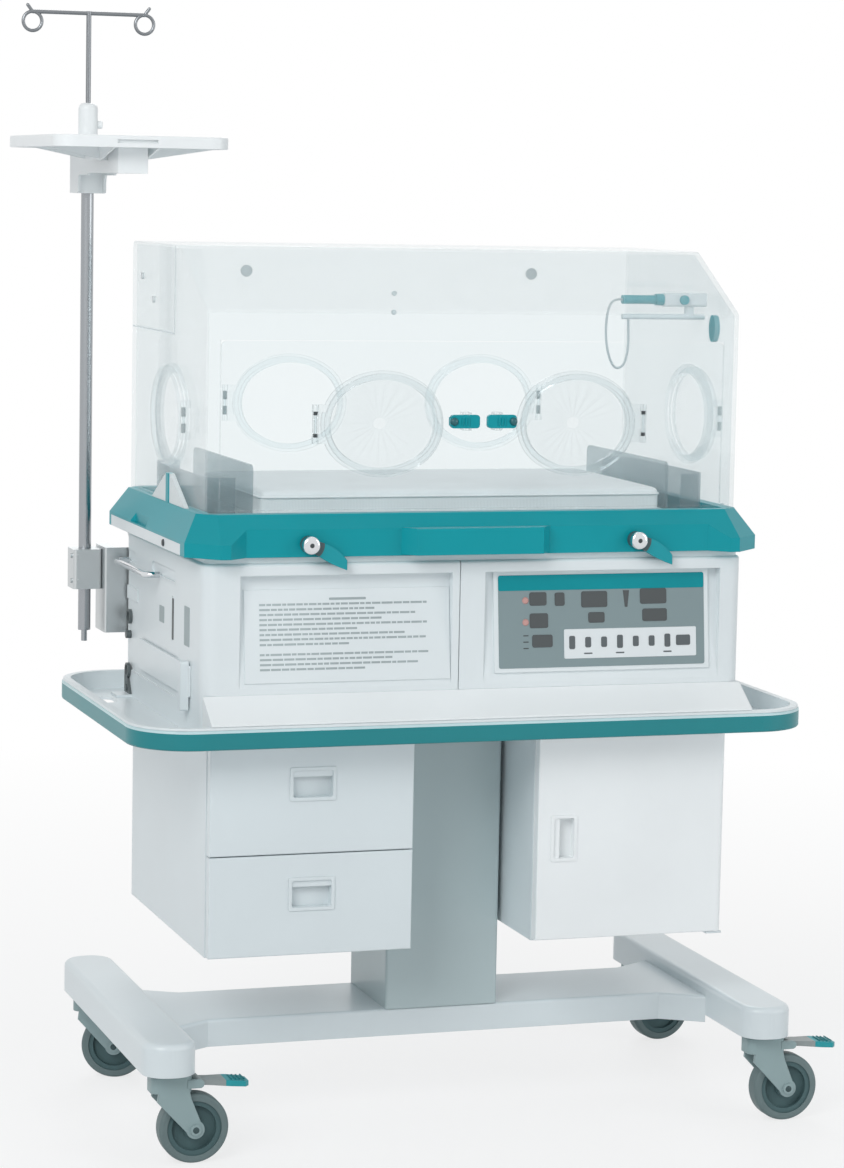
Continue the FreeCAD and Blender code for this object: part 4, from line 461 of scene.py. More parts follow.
pan_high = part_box("tray_bumper")[1]
bumper = moulded("bumper_rubber", DEEP_TEAL, rough=0.36, second=(0.60, 0.80, 0.83), tint=0.08,
                 mask=inside(((None, None, pan_high.z - line_height), OPEN)))
wheel_finish, lock_finish, tip = {}, {}, {}
for name, spec in spec_of.items():
    kind, _, where_to = name.partition("_")
    if kind in ("roll", "lock"):
        pivot = (tuple(spec["pos_m"]), tuple(spec["axis"]))
    if kind == "roll":
        wheel_finish["caster_wheel_" + where_to] = moulded(
            "wheel_" + where_to, (0.085, 0.150, 0.158), rough=0.5, second=(0.175, 0.235, 0.24), tint=0.2,
            gleam=0.25, mask=outside_radius(*pivot, tread_starts))
    if kind == "lock":
        lock_finish["canopy_lock_" + where_to] = moulded(
            "lock_lever_" + where_to, (0.07, 0.11, 0.12), rough=0.32, second=TEAL, tint=0.1, gleam=0.4,
            mask=outside_radius(*pivot, lever_starts))
fork_finish = moulded("fork_casting", (0.32, 0.425, 0.435), rough=0.42, tint=0.12, gleam=0.35)
for corner in ("front_left", "front_right"):
    pad_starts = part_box("brake_pedal_" + corner)[1].x - foot_pad
    tip["brake_pedal_" + corner] = moulded("pedal_" + corner, (0.30, 0.34, 0.34), second=(0.01, 0.33, 0.37),
                                           mask=inside(((pad_starts, None, None), OPEN)), tint=0.1)
hood_low, hood_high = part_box("hood_shell")
fitting = moulded("hood_fitting", (0.76, 0.81, 0.82), second=TEAL, mask=inside(
    ((hood_high.x - skin, None, None), OPEN),
    ((None, -34 * MM, None), (hood_low.x - skin, -16 * MM, hood_low.z + 45 * MM))))
module_low, module_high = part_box("sensor_module")
sensor = moulded("sensor_white", WHITE, second=TEAL, mask=inside(
    ((None, None, module_high.z - plug_height), (module_low.x + plug_end, None, None)),
    (OPEN, (None, module_low.y + bar_front, None))))
side_low, side_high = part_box("side_fittings")
side_finish = moulded("side_fitting", (0.10, 0.12, 0.125), second=WHITE, mask=inside(
    ((None, None, side_high.z - grip_height), OPEN), (OPEN, (None, None, side_low.z + foot_height))))
print("wheels", sorted(wheel_finish))

# %% Give every frame part its finish
plan = {
    "paint": ["base_frame", "drawer_cabinet", "cupboard_cabinet", "drawer_upper", "drawer_lower"],
    "column": ["column"],
    "pale": ["shelf_arm", "equipment_shelf", "pole_collar", "front_ledge", "bed_tray", "cupboard_door"],
    "shell": ["tray_pan", "housing", "control_module", "instruction_plate", "control_fascia", "reservoir",
              "deck_plate", "canopy_side_strips"],
    "teal": ["canopy_frame", "port_latch_front_left", "port_latch_front_right"],
    "clear": ["hood_shell", "front_panel"],
    "door": ["port_door_front_left", "port_door_front_right", "front_port_rings"],
    "far_port": ["port_door_rear_left", "port_door_rear_right", "port_door_left_end", "port_door_right_end",
                 "hood_port_rings"],
    "smoke": ["air_baffles", "bed_end_walls"],
    "steel": ["iv_pole"],
    "rod": ["drip_rod"],
    "chrome": ["side_rail", "bed_handles"],
    "alloy": ["caster_stems", "canopy_hinges", "pole_bracket"],
    "grey": ["sensor_lead", "mattress"],
}
chosen = {n: finish[key] for key, names in plan.items() for n in names}
chosen.update({"tray_bumper": bumper, "hood_fittings": fitting, "sensor_module": sensor,
               "side_fittings": side_finish, **wheel_finish, **tip, **lock_finish})
chosen.update({n: fork_finish for n in nodes if n.startswith("caster_fork")})
missing = sorted(set(nodes) - set(chosen))
for n, material in chosen.items():
    part = nodes[n]
    part.data.materials.clear()
    part.data.materials.append(material)
print("without a finish", missing)

# %% [markdown]
# ## Floor and light
# A studio sweep: a pale floor that the camera sees as white but that still takes a soft shadow, a large
# soft lamp from the front left, smaller ones from the right and from behind, and an even surround.

# %% Floor, surround and lamps
floor_half = 14                         # metres
glow_from, glow_full = 0.7, 3.2         # metres from the middle, where the floor turns to plain white
glow_low = 0.74
floor_form = bmesh.new()
bmesh.ops.create_grid(floor_form, x_segments=1, y_segments=1, size=floor_half)
floor_mesh = bpy.data.meshes.new("studio_floor")
floor_form.to_mesh(floor_mesh)
floor_form.free()
floor = bpy.data.objects.new("studio_floor", floor_mesh)
bpy.context.collection.objects.link(floor)
floor_paint, tree, shader, output = start_material("studio_floor")
fill(shader, {"Base Color": (0.86, 0.87, 0.88, 1), "Roughness": 0.7})
glow = add(tree, "ShaderNodeEmission", color=(1, 1, 1, 1))
spot = add(tree, "ShaderNodeTexCoord")
reach = add(tree, "ShaderNodeVectorMath", operation="LENGTH")
join(tree, spot, "Object", reach, 0)
far_off = add(tree, "ShaderNodeMapRange", from_min=glow_from, from_max=glow_full, to_min=glow_low, to_max=1.0)
join(tree, reach, "Value", far_off, "Value")
glow_share = add(tree, "ShaderNodeMath", operation="MULTIPLY")
join(tree, showing_rays(tree), 0, glow_share, 0)
join(tree, far_off, "Result", glow_share, 1)
blend_shaders(tree, glow_share, shader, glow, output)
floor_mesh.materials.append(floor_paint)

world = bpy.data.worlds.new("studio")
bpy.context.scene.world = world
world.use_nodes = True
tree = world.node_tree
tree.nodes.clear()
soft = add(tree, "ShaderNodeBackground", color=(0.95, 0.98, 1.0, 1), strength=0.42)
bright = add(tree, "ShaderNodeBackground", color=(1, 1, 1, 1), strength=1.0)
blend_shaders(tree, showing_rays(tree), soft, bright, add(tree, "ShaderNodeOutputWorld"))


def lamp(name, place, target, width, power):
    """A soft square lamp aimed at a point."""
    light = bpy.data.lights.new(name, "AREA")
    light.size = width
    light.energy = power
    obj = bpy.data.objects.new(name, light)
    obj.location = place
    obj.rotation_euler = (Vector(target) - Vector(place)).to_track_quat("-Z", "Y").to_euler()
    bpy.context.collection.objects.link(obj)


lamp("key", (-3.2, -3.4, 3.6), (0, 0, 0.7), 2.6, 120)
lamp("fill", (3.6, -3.0, 1.8), (0, 0, 0.7), 2.4, 36)
lamp("rim", (1.0, 3.4, 3.2), (0, 0, 0.9), 2.0, 30)
bpy.context.scene.view_settings.view_transform = "Standard"
bpy.context.scene.cycles.transparent_max_bounces = 32    # a view line crosses the hood's many sheets

# %% [markdown]
# ## Modelling helpers
# Most small pieces are plates with rounded corners. One helper starts from a single square, rounds its
# corners, gives it thickness and softens the front edge. It is made facing the front, then turned to the
# surface that carries it.

# %% Piece helpers


def new_piece(name, form, material, body, smooth=False):
    """Turn a bmesh into an object that rides on a body."""
    bmesh.ops.recalc_face_normals(form, faces=form.faces)
    mesh = bpy.data.meshes.new(name)
    form.to_mesh(mesh)
    form.free()
    for face in mesh.polygons:
        face.use_smooth = smooth
    piece = bpy.data.objects.new(name, mesh)
    bpy.context.collection.objects.link(piece)
    mesh.materials.append(material)
    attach(piece, body)
    return piece


def face_front(form):
    """Turn a flat form from the floor so that it faces -Y."""
    bmesh.ops.rotate(form, cent=(0, 0, 0), matrix=Matrix.Rotation(math.radians(90), 3, "X"), verts=form.verts)


def thicken(form, thick):
    """Draw a flat form out to -Y, and give back the vertices of its new front."""
    grown = bmesh.ops.extrude_face_region(form, geom=form.faces[:])
    front = [v for v in grown["geom"] if isinstance(v, bmesh.types.BMVert)]
    bmesh.ops.translate(form, vec=(0, -thick, 0), verts=front)
    return front


def rounded_plate(width, height, thick, corner, soft=0.0):
    """A plate centred on the origin, facing -Y, its back at y = 0."""
    form = bmesh.new()
    bmesh.ops.create_grid(form, x_segments=1, y_segments=1, size=0.5)
    bmesh.ops.scale(form, vec=(width, height, 1), verts=form.verts)
    face_front(form)
    if corner > 0:
        bmesh.ops.bevel(form, geom=form.verts[:], offset=corner, affect="VERTICES", segments=4, profile=0.5,
                        material=-1)
    thicken(form, thick)
    if soft > 0:
        rim = [e for e in form.edges if all(abs(v.co.y + thick) < 1e-7 for v in e.verts)]
        bmesh.ops.bevel(form, geom=rim, offset=soft, affect="EDGES", segments=2, profile=0.5, material=-1)
    return form


def join_forms(forms):
    """Several bmeshes as one."""
    whole = bmesh.new()
    for form in forms:
        scratch = bpy.data.meshes.new("scratch")
        form.to_mesh(scratch)
        form.free()
        whole.from_mesh(scratch)
        bpy.data.meshes.remove(scratch)
    return whole


def placed(form, matrix):
    """The same bmesh, moved into place."""
    bmesh.ops.transform(form, matrix=matrix, verts=form.verts)
    return form


print("helpers ready")

# %% [markdown]
# ## The control panel
# The panel leans back as it rises, so the eye of a nurse above it sees it square. Everything printed or
# set into it is a thin plate on that one leaning plane: a grey field, a bare strip of teal, smoked
# display windows, two warning lamps and a white strip of keys. A function turns a place on the panel,
# in millimetres from the row's own X and Z, into a place on that plane.

# %% The leaning plane
fascia_low, fascia_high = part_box("control_fascia")
set_back, over_height = 17.0, 159.0                     # millimetres
lean = math.atan2(set_back, over_height)
side_margin, end_margin, strip_height = 7, 6, 22        # millimetres
field_thick, strip_thick = 0.5, 0.7


def on_panel(x, z, lift=0.0):
    """The matrix that lays a plate on the control panel, centred at x and z in millimetres."""
    up_slope = z * MM - fascia_low.z
    spot = Vector((x * MM, fascia_low.y + up_slope * math.tan(lean) - lift, z * MM))
    return Matrix.Translation(spot) @ Matrix.Rotation(-lean, 4, "X")


def panel_plate(name, x0, x1, z0, z1, corner, thick, lift, material, soft=0.0):
    """A plate on the control panel between two corners, in millimetres."""
    form = rounded_plate((x1 - x0) * MM, (z1 - z0) * MM / math.cos(lean), thick * MM, corner * MM, soft * MM)
    return new_piece(name, placed(form, on_panel((x0 + x1) / 2, (z0 + z1) / 2, lift * MM)), material, "stand")


def printed(name, colour, rough, scale, tint, gleam=0.5):
    """A matt print or sheet, with hardly any rounding at its edges."""
    return moulded(name, colour, rough=rough, scale=scale, tint=tint, edge=0.0004, gleam=gleam)


def glossy(name, colour):
    """A smooth window, with a little dust in its gloss."""
    return moulded(name, colour, rough=0.12, spread=0.05, depth=0.000005, scale=300, tint=0.12, coat=0.5,
                   edge=0.0004)


finish["field"] = printed("panel_field", (0.25, 0.325, 0.34), 0.5, 500, 0.05, gleam=0.3)
finish["strip"] = printed("panel_teal", (0.002, 0.29, 0.335), 0.4, 500, 0.04, gleam=0.2)
finish["window"] = glossy("display_window", (0.055, 0.068, 0.072))
finish["lamp"] = glossy("lamp_lens", (0.62, 0.33, 0.30))
finish["keys"] = printed("key_strip", (0.80, 0.85, 0.87), 0.35, 500, 0.03)
finish["print"] = printed("dark_print", (0.11, 0.13, 0.14), 0.5, 400, 0.2)
field_left, field_right = fascia_low.x / MM + side_margin, fascia_high.x / MM - side_margin
field_low, field_high = fascia_low.z / MM + end_margin, fascia_high.z / MM - end_margin
panel_plate("panel_field", field_left, field_right, field_low, field_high, 3, field_thick, 0, finish["field"])
panel_plate("panel_strip", field_left, field_right, field_high - strip_height, field_high, 3, strip_thick, 0,
            finish["strip"])
print("panel", round(field_left), round(field_right), round(field_low), round(field_high))

# %% [markdown]
# The windows, lamps and keys are listed by their middle and size, measured from the panel's left edge
# and from its top, as a maker's drawing would give them.

# %% Windows, lamps and keys
windows = {"temperature": (60, 34, 26, 19), "power": (93, 35, 15, 19), "skin": (146, 36, 40, 23),
           "humidity": (237, 33, 41, 22), "set_skin": (149, 62, 25, 15), "set_humidity": (239, 60, 38, 18),
           "heater": (61, 65, 28, 21), "fault": (66, 94, 31, 18)}
plate_thick, print_thick, mark_thick = 0.8, 0.5, 0.3    # millimetres, like all that follow
for name, (dx, dz, width, height) in windows.items():
    cx, cz = field_left + dx, field_high - dz
    panel_plate("window_" + name, cx - width / 2, cx + width / 2, cz - height / 2, cz + height / 2, 3,
                plate_thick, field_thick, finish["window"], soft=0.3)
lamp_x, lamp_radius, lamp_height, lamp_taper = field_left + 41, 5.0, 1.6, 0.72
for i, dz in enumerate((36, 67)):
    form = bmesh.new()
    bmesh.ops.create_circle(form, cap_ends=True, radius=lamp_radius * MM, segments=28)
    face_front(form)
    bmesh.ops.scale(form, vec=(lamp_taper, 1, lamp_taper), verts=thicken(form, lamp_height * MM))
    new_piece("lamp_%d" % i, placed(form, on_panel(lamp_x, field_high - dz, field_thick * MM)),
              finish["lamp"], "stand")
key_left, key_right = field_left + 99, field_left + 303
key_low, key_high = field_high - 120, field_high - 78
panel_plate("key_strip", key_left, key_right, key_low, key_high, 2, plate_thick, field_thick, finish["keys"],
            soft=0.3)
first_key, key_pitch, keys, lift = 12, 24.5, 8, 1.3 * MM
key_row = []
for i in range(keys):
    cx = key_left + first_key + i * key_pitch
    height = 15 if i % 3 else 19
    width = 9 if i < keys - 1 else 22
    form = rounded_plate(width * MM, height * MM, print_thick * MM, 2.4 * MM)
    key_row.append(placed(form, on_panel(cx, (key_low + key_high) / 2 + 2, lift)))
    if i in (1, 3, 6):
        form = rounded_plate(13 * MM, 2 * MM, mark_thick * MM, 0.9 * MM)
        key_row.append(placed(form, on_panel(cx, key_low + 7, lift)))
new_piece("key_row", join_forms(key_row), finish["print"], "stand")
marks = []
for k in range(3):
    form = rounded_plate(8 * MM, 1.6 * MM, mark_thick * MM, 0.7 * MM)
    marks.append(placed(form, on_panel(lamp_x, field_high - 86 - 9 * k, field_thick * MM)))
gauge = rounded_plate(4 * MM, 24 * MM, mark_thick * MM, 0.0)
bmesh.ops.scale(gauge, vec=(2.4, 1, 1), verts=[v for v in gauge.verts if v.co.z > 0])
marks.append(placed(gauge, on_panel(field_left + 195, field_high - 36, field_thick * MM)))
new_piece("panel_marks", join_forms(marks), finish["window"], "stand")
fitted = [o for o in bpy.data.objects if o.name.startswith(("window", "key", "lamp_", "panel"))]
print("panel pieces", len(fitted))

# %% [markdown]
# ## The instruction plate
# The printed plate is seen only as rows of grey. It carries plain dashes here: no words, just the
# rhythm of a notice, with a gap between its two halves.

# %% Rows on the plate
plate_low, plate_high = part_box("instruction_plate")
dashes = random.Random(7)
shares = (0.0, 0.97, 0.62, 0.90, 0.70, 0.97, 0.55, 0.80, 0.93, 0.48, 0.0, 0.93, 0.75, 0.86, 0.60)
left_margin, both_margins, top_margin, low_margin = 22, 48, 14, 12    # millimetres
shortest, longest, gap, dash_height, ink = 5.0, 17.0, 1.6, 2.9, 0.15
usable = (plate_high.x - plate_low.x) / MM - both_margins
row_top = plate_high.z / MM - top_margin
row_pitch = (row_top - plate_low.z / MM - low_margin) / len(shares)
step_back = (plate_low.y - fascia_low.y) + (fascia_low.z - plate_low.z) * math.tan(lean)
to_plate = Matrix.Translation((0, step_back, 0))
rows = []
for i, share in enumerate(shares):
    reached = 0.0
    while reached < usable * share:
        width = dashes.uniform(shortest, longest)
        form = rounded_plate(width * MM, dash_height * MM, ink * MM, 0.0)
        cx = plate_low.x / MM + left_margin + reached + width / 2
        rows.append(placed(form, to_plate @ on_panel(cx, row_top - i * row_pitch)))
        reached += width + gap
heading = rounded_plate(54 * MM, 3.4 * MM, ink * MM, 1.2 * MM)
rows.append(placed(heading, to_plate @ on_panel((plate_low.x + plate_high.x) / 2 / MM, row_top)))
finish["notice"] = moulded("notice_grey", (0.43, 0.50, 0.515), rough=0.55, scale=400, tint=0.25, edge=0.0003)
new_piece("notice_rows", join_forms(rows), finish["notice"], "stand")
print("rows", len(rows))

# %% [markdown]
# ## The mattress
# A foam block in a cotton cover, so it is a crowned pad: full at its middle, drawn in at its upper and
# edges, with a piped seam round its side. It starts as a grid-cut box, its top is raised by a smooth
# crown with a faint ripple, and a subdivision surface rounds it.

# %% Pad and piping
pad_low, pad_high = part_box("mattress")
half = (pad_high - pad_low) / 2
middle = (pad_high + pad_low) / 2
slack, edge_round = 2 * MM, 9 * MM                    # inside the mattress's box, and its rounding
crown_rise, ripple_rise, edge_sink = 2.6, 0.35, 1.2   # millimetres
form = bmesh.new()
bmesh.ops.create_cube(form, size=2)
bmesh.ops.scale(form, vec=(half.x - slack, half.y - slack, half.z - slack), verts=form.verts)
bmesh.ops.bevel(form, geom=form.edges[:], offset=edge_round, affect="EDGES", segments=3, profile=0.5,
                material=-1)
for axis, shortest_cut, cuts in ((0, 0.3, 23), (1, 0.15, 13)):
    spans = [e for e in form.edges if abs(e.verts[0].co[axis] - e.verts[1].co[axis]) > shortest_cut]
    bmesh.ops.subdivide_edges(form, edges=spans, cuts=cuts, use_grid_fill=True)
for v in form.verts:
    u, w = v.co.x / half.x, v.co.y / half.y
    crown = max(0.0, 1 - u ** 4) * max(0.0, 1 - w ** 4)
    ripple = ripple_rise * math.sin(31 * v.co.x + 5 * v.co.y) * math.sin(17 * v.co.y)
    if v.co.z > 0:
        v.co.z += (crown * crown_rise + crown * ripple - edge_sink) * MM
bmesh.ops.translate(form, vec=middle, verts=form.verts)
pad = new_piece("mattress_pad", form, finish["sheet"], "bed", smooth=True)
rounder = pad.modifiers.new("round", "SUBSURF")
rounder.levels = 1
rounder.render_levels = 1
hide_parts("mattress")

seam_inset, seam_corner, seam_radius, seam_drop = 1.2 * MM, 12 * MM, 1.4 * MM, 13 * MM
form = bmesh.new()
bmesh.ops.create_grid(form, x_segments=1, y_segments=1, size=1)
bmesh.ops.scale(form, vec=(half.x - seam_inset, half.y - seam_inset, 1), verts=form.verts)
bmesh.ops.bevel(form, geom=form.verts[:], offset=seam_corner, affect="VERTICES", segments=5, profile=0.5,
                material=-1)
bmesh.ops.delete(form, geom=form.faces[:], context="FACES_ONLY")
seam_mesh = bpy.data.meshes.new("pad_seam_path")
form.to_mesh(seam_mesh)
form.free()
piping = bpy.data.objects.new("pad_seam_path", seam_mesh)
bpy.context.collection.objects.link(piping)
for other in bpy.context.selected_objects:    # a convert acts on all that is selected
    other.select_set(False)
bpy.context.view_layer.objects.active = piping
piping.select_set(True)
bpy.ops.object.convert(target="CURVE")
piping.data.bevel_depth = seam_radius
piping.data.bevel_resolution = 3
bpy.ops.object.convert(target="MESH")
piping.name = "pad_piping"
for v in piping.data.vertices:
    v.co += Vector((middle.x, middle.y, pad_high.z - seam_drop))
piping.data.materials.append(finish["sheet"])
for face in piping.data.polygons:
    face.use_smooth = True
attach(piping, "bed")
print("pad faces", len(pad.data.polygons))

# %% [markdown]
# ## The sensor's lead
# A thin limp lead runs from the plug, round a narrow hanging loop and up into the lower bar. It is one
# smooth curve whose control points are its route, with a round section.

# %% The lead
route = [(0.0, 0.0, 0.0), (-12.0, 0.0, 0.5), (-21.0, -1.5, -9.0), (-25.0, -3.0, -26.0), (-26.5, -4.0, -46.0),
         (-25.0, -4.5, -66.0), (-20.0, -4.0, -86.0), (-10.5, -2.5, -101.5), (3.0, -1.0, -99.0),
         (9.0, 0.0, -84.0), (11.5, 0.5, -66.0), (11.0, 0.5, -48.0), (10.0, 0.0, -29.0)]
start = Vector((module_low.x, (module_low.y + module_high.y) / 2 + 2 * MM, module_high.z - 10 * MM))
line = bpy.data.curves.new("sensor_line", "CURVE")
line.dimensions = "3D"
spline = line.splines.new("NURBS")
spline.points.add(len(route) - 1)
for point, step in zip(spline.points, route):
    point.co = (*(start + Vector(step) * MM), 1)
spline.order_u = 3
spline.use_endpoint_u = True
line.resolution_u = 12
lead_radius = 1.75 * MM
line.bevel_depth = lead_radius
line.bevel_resolution = 4
lead = bpy.data.objects.new("sensor_line", line)
bpy.context.collection.objects.link(lead)
finish["lead"] = moulded("lead_jacket", (0.55, 0.62, 0.64), rough=0.4, scale=600, depth=0.00001, edge=0.0003)
line.materials.append(finish["lead"])
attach(lead, "canopy")
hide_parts("sensor_lead")
print("lead starts at", [round(v, 3) for v in start])

# %% [markdown]
# ## Bright caps and dark buttons
# Each canopy lock has a chrome cap with a dark dot at its middle. A cap is turned: a short profile spun
# once round its own axis. The same helper makes the buttons on the canopy's sides and other small knobs.
# Two dark clips sit on the bed's front edge.

# %% Turned pieces


def turned(profile, place, direction):
    """Spin a profile of (radius, height) points, in millimetres, about its axis."""
    form = bmesh.new()
    points = [form.verts.new((r * MM, 0, h * MM)) for r, h in profile]
    edges = [form.edges.new(pair) for pair in zip(points, points[1:])]
    bmesh.ops.spin(form, geom=points + edges, cent=(0, 0, 0), axis=(0, 0, 1), angle=math.tau, steps=32,
                   use_merge=True)
    bmesh.ops.remove_doubles(form, verts=form.verts, dist=1e-6)
    turn = Vector((0, 0, 1)).rotation_difference(Vector(direction)).to_matrix().to_4x4()
    return placed(form, Matrix.Translation(place) @ turn)


FRONT = (0, -1, 0)
cap_profile = [(0, 1.0), (8.6, 1.0), (11.6, 0.2), (12.4, -1.6), (12.4, -7.5)]
dot_profile = [(0, 1.7), (2.6, 1.7), (3.3, 1.0)]
button_profile = [(0, 2.4), (4.0, 2.2), (5.2, 1.0), (5.2, -0.5)]
button_y = -0.10
for side in ("left", "right"):
    lock = "canopy_lock_" + side
    pivot = spec_of["lock_" + side]["pos_m"]
    centre = Vector((pivot[0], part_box(lock)[0].y, pivot[2]))
    new_piece("lock_cap_" + side, turned(cap_profile, centre, FRONT), finish["chrome"], lock, smooth=True)
    new_piece("lock_dot_" + side, turned(dot_profile, centre, FRONT), finish["dark"], lock, smooth=True)
strip_low, strip_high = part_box("canopy_side_strips")
for side, sign, x in (("left", -1, strip_low.x), ("right", 1, strip_high.x)):
    button = turned(button_profile, (x, button_y, (strip_low.z + strip_high.z) / 2), (sign, 0, 0))
    new_piece("strip_button_" + side, button, finish["dark"], "canopy", smooth=True)
tray_low, tray_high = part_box("bed_tray")
clips = []
for x, below in ((-38.0, 5.0), (14.0, 8.0)):
    form = rounded_plate(16 * MM, 9.5 * MM, 6 * MM, 2 * MM, 0.8 * MM)
    clips.append(placed(form, Matrix.Translation((x * MM, tray_low.y, tray_high.z - below * MM))))
new_piece("bed_clips", join_forms(clips), finish["dark"], "bed")
print("caps and buttons made")

# %% [markdown]
# ## Pins, latch ends and grips
# Every port door hangs on a grey pin that shows through its clear barrels as two short upright bars. The
# two press latches each end in a dark knob and have three ribs for the elbow that pushes them.

# %% Pins and latches
finish["knob"] = moulded("knob_teal", (0.004, 0.115, 0.135), rough=0.3, coat=0.2)
finish["pin"] = moulded("pin_grey", (0.42, 0.47, 0.48), rough=0.35)
UP = (0, 0, 1)
pin_radius, pin_end, knob_inset = 3.1, 18, 5 * MM
knob_profile = [(0, 4.2), (3.4, 3.6), (5.4, 1.8), (6.0, -0.6), (6.0, -2.0)]
port_joints = [name for name in spec_of if name.startswith("port_")]
for name in port_joints:
    carrier = spec_of[name]["parent"]
    on_front = carrier == "access_panel"
    pin_start = 13 if on_front else 5
    bars = []
    for low_end, high_end in ((-pin_end, -pin_start), (pin_start, pin_end)):
        outline = [(0, low_end), (pin_radius, low_end), (pin_radius, high_end), (0, high_end)]
        bars.append(turned(outline, Vector(spec_of[name]["pos_m"]), UP))
    new_piece("pin_" + name, join_forms(bars), finish["dark" if on_front else "pin"], carrier)
for side, sign in (("left", -1), ("right", 1)):
    latch = "port_latch_front_" + side
    low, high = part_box(latch)
    middle_z = (low.z + high.z) / 2
    end_x = low.x + knob_inset if sign < 0 else high.x - knob_inset
    knob = turned(knob_profile, (end_x, low.y, middle_z), FRONT)
    new_piece("latch_knob_" + side, knob, finish["knob"], latch, smooth=True)
    ribs = []
    for k in range(3):
        rib = rounded_plate(2.0 * MM, 11 * MM, 0.9 * MM, 0.9 * MM, 0.3 * MM)
        ribs.append(placed(rib, Matrix.Translation((end_x - sign * (12 + 5 * k) * MM, low.y, middle_z))))
    new_piece("latch_ribs_" + side, join_forms(ribs), finish["teal"], latch)
print("pins", len(port_joints))

# %% [markdown]
# ## Wheel bolts and pedal grips
# A dark bolt head closes each end of a wheel's axle, proud of the fork. Each brake pedal has ribs across
# its teal foot pad, so that a shoe doesn't slip.

# %% Bolts and ribs
finish["bolt"] = moulded("axle_bolt", (0.05, 0.085, 0.09), rough=0.4, gleam=0.3)
finish["grip"] = moulded("grip_teal", (0.003, 0.20, 0.23), rough=0.45, gleam=0.2)
bolt_profile = [(0, 1.3), (3.6, 1.1), (4.6, 0.3), (4.8, -0.6)]
boss_radius = 12 * MM        # of the fork round its axle
first_rib, rib_pitch, foot_length, rib_reach = 7, 6, 30 * MM, 12 * MM
for name in [name for name in spec_of if name.startswith("roll_")]:
    corner = name[len("roll_"):]
    hub, along = Vector(spec_of[name]["pos_m"]), Vector(spec_of[name]["axis"]).normalized()
    beside = []
    for v in nodes["caster_fork_" + corner].data.vertices:
        along_axle = (v.co - hub).dot(along)
        if ((v.co - hub) - along * along_axle).length < boss_radius:
            beside.append(abs(along_axle))
    out_face = max(beside)
    heads = [turned(bolt_profile, hub + along * out_face * sign, along * sign) for sign in (-1, 1)]
    new_piece("axle_bolt_" + corner, join_forms(heads), finish["bolt"], "caster_" + corner, smooth=True)
lie_flat = Matrix.Rotation(math.radians(-90), 4, "X")
for corner in ("front_left", "front_right"):
    pedal_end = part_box("brake_pedal_" + corner)[1].x
    tops = [v.co for v in nodes["brake_pedal_" + corner].data.vertices if v.co.x > pedal_end - foot_length]
    near_y, far_y = min(c.y for c in tops), max(c.y for c in tops)
    width_y = far_y - near_y
    ribs = []
    for k in range(4):
        x = pedal_end - (first_rib + rib_pitch * k) * MM
        close = [c.z for c in tops if abs(c.x - x) < rib_reach] or [max(c.z for c in tops)]
        rib = rounded_plate(2.2 * MM, width_y * 0.72, 1.0 * MM, 0.9 * MM, 0.3 * MM)
        ribs.append(placed(rib, Matrix.Translation((x, (far_y + near_y) / 2, max(close))) @ lie_flat))
    new_piece("pedal_ribs_" + corner, join_forms(ribs), finish["grip"], "pedal_" + corner)
print("bolts and ribs made", round(out_face, 4), round(width_y, 4))

# %% [markdown]
# ## Port sleeves
# Behind each front door a sleeve of clear film closes the port round an arm. It is gathered from the
# ring to a small hole, so its folds fan out from the middle, deepest near the hole and flat at the rim.

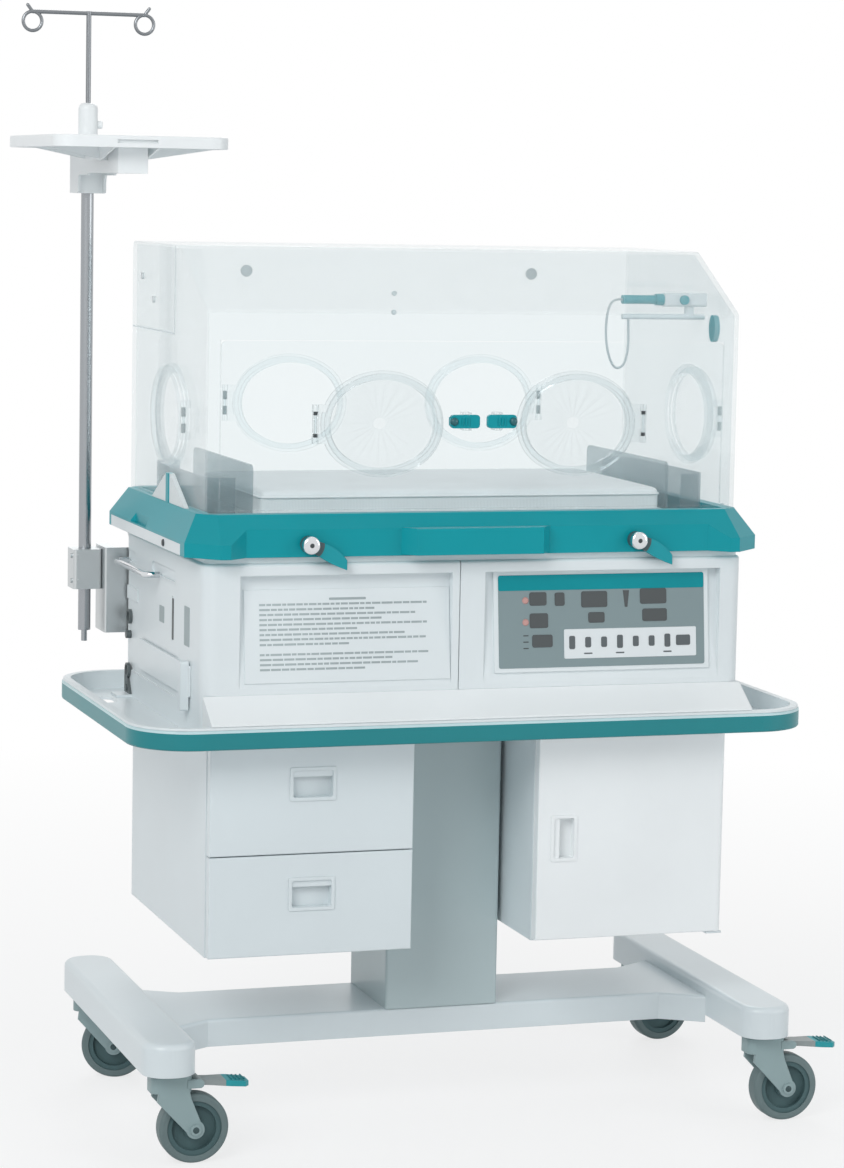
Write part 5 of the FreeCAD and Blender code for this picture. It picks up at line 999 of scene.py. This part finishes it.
# %% Gathered film
finish["film"] = acrylic("sleeve_film", (0.62, 0.67, 0.68), rough=0.22, haze=0.07, edge=0.75)
door_low, door_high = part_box("port_door_front_left")
ring_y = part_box("front_port_rings")[1].y + 2 * MM
port_middle = (door_low.z + door_high.z) / 2
rim, hole = (74, 62), (9, 8)                        # half width and half height, in millimetres
sinks, fold_depth, steps, folds = 9, 1.3, 7, 24     # millimetres towards the back; rings; folds
around = folds * 4
for side, port_x in (("left", -142.0), ("right", 148.0)):
    form = bmesh.new()
    loops = []
    for k in range(steps + 1):
        inward = k / steps
        fade = math.sin(math.pi * min(1.0, inward * 1.15) / 1.15)
        reach_x, reach_z = (out + (at_hole - out) * inward for out, at_hole in zip(rim, hole))
        loop = []
        for i in range(around):
            angle = math.tau * i / around
            fold = math.sin(angle * folds + 1.7 * math.sin(3 * angle)) * fade
            loop.append(form.verts.new((port_x * MM + reach_x * MM * math.cos(angle),
                                        ring_y + (sinks * inward ** 1.5 + fold_depth * fold) * MM,
                                        port_middle + reach_z * MM * math.sin(angle))))
        loops.append(loop)
    for outer, inner in zip(loops, loops[1:]):
        for i in range(around):
            j = (i + 1) % around
            form.faces.new((outer[i], outer[j], inner[j], inner[i]))
    film_area = sum(face.calc_area() for face in form.faces)
    film = new_piece("port_sleeve_" + side, form, finish["film"], "access_panel", smooth=True)
print("sleeve film", round(film_area * 1e4), "square cm each")

# %% [markdown]
# ## The service side
# The left wall carries a slot and two small grey plates, which stay bare. The slot is a flat dark plate of
# painted shade, for the inside of the opening. The slot and the middle plate lie in the wall's shallow
# recess, the front one on its raised border.

# %% Plates on the left wall
recess_x, border_x = -402.0, -404.0
face_left = Matrix.Rotation(math.radians(-90), 4, "Z")
# the slot's plate is dark as painted shade for the inside of the opening
for name, x, y, z, width, height, key in (("side_slot", recess_x, -56, 743, 9, 60, "dark"),
                                          ("side_plate_middle", recess_x, 10, 742, 28, 24, "notice"),
                                          ("side_plate_front", border_x, -146, 744, 30, 56, "notice")):
    plate = rounded_plate(width * MM, height * MM, 0.5 * MM, 2 * MM, 0.15 * MM)
    spot = Matrix.Translation((x * MM, y * MM, z * MM))
    new_piece(name, placed(plate, spot @ face_left), finish[key], "stand")
print("side plates on the wall at", recess_x, border_x)

# %% [markdown]
# ## Seams on the hood
# The hood's left end is cut and bonded: one upright joint and one level joint show as fine pale lines.
# They are slim strips of the same acrylic, rough where the cement has filled them.

# %% Bonded joints
finish["bond"] = acrylic("bond_line", (0.74, 0.80, 0.82), rough=0.35, tint=(0.93, 0.95, 0.955), haze=0.15,
                         edge=0.5)
bonds = []
for y0, y1, z0, z1 in ((-29.5, -27.0, 1150, 1274), (-28, 230, 1148.5, 1151)):
    form = rounded_plate((y1 - y0) * MM, (z1 - z0) * MM, 0.6 * MM, 0.5 * MM)
    spot = Matrix.Translation((hood_low.x, (y0 + y1) / 2 * MM, (z0 + z1) / 2 * MM))
    bonds.append(placed(form, spot @ face_left))
new_piece("hood_bonds", join_forms(bonds), finish["bond"], "canopy")
print("bonded joints", len(bonds))

# %% Finish what is left
for o in bpy.data.objects:    # a mesh that no cell gave a finish gets the plain grey one
    if o.type == "MESH" and len(o.data.materials) == 0:
        o.data.materials.append(finish["grey"])
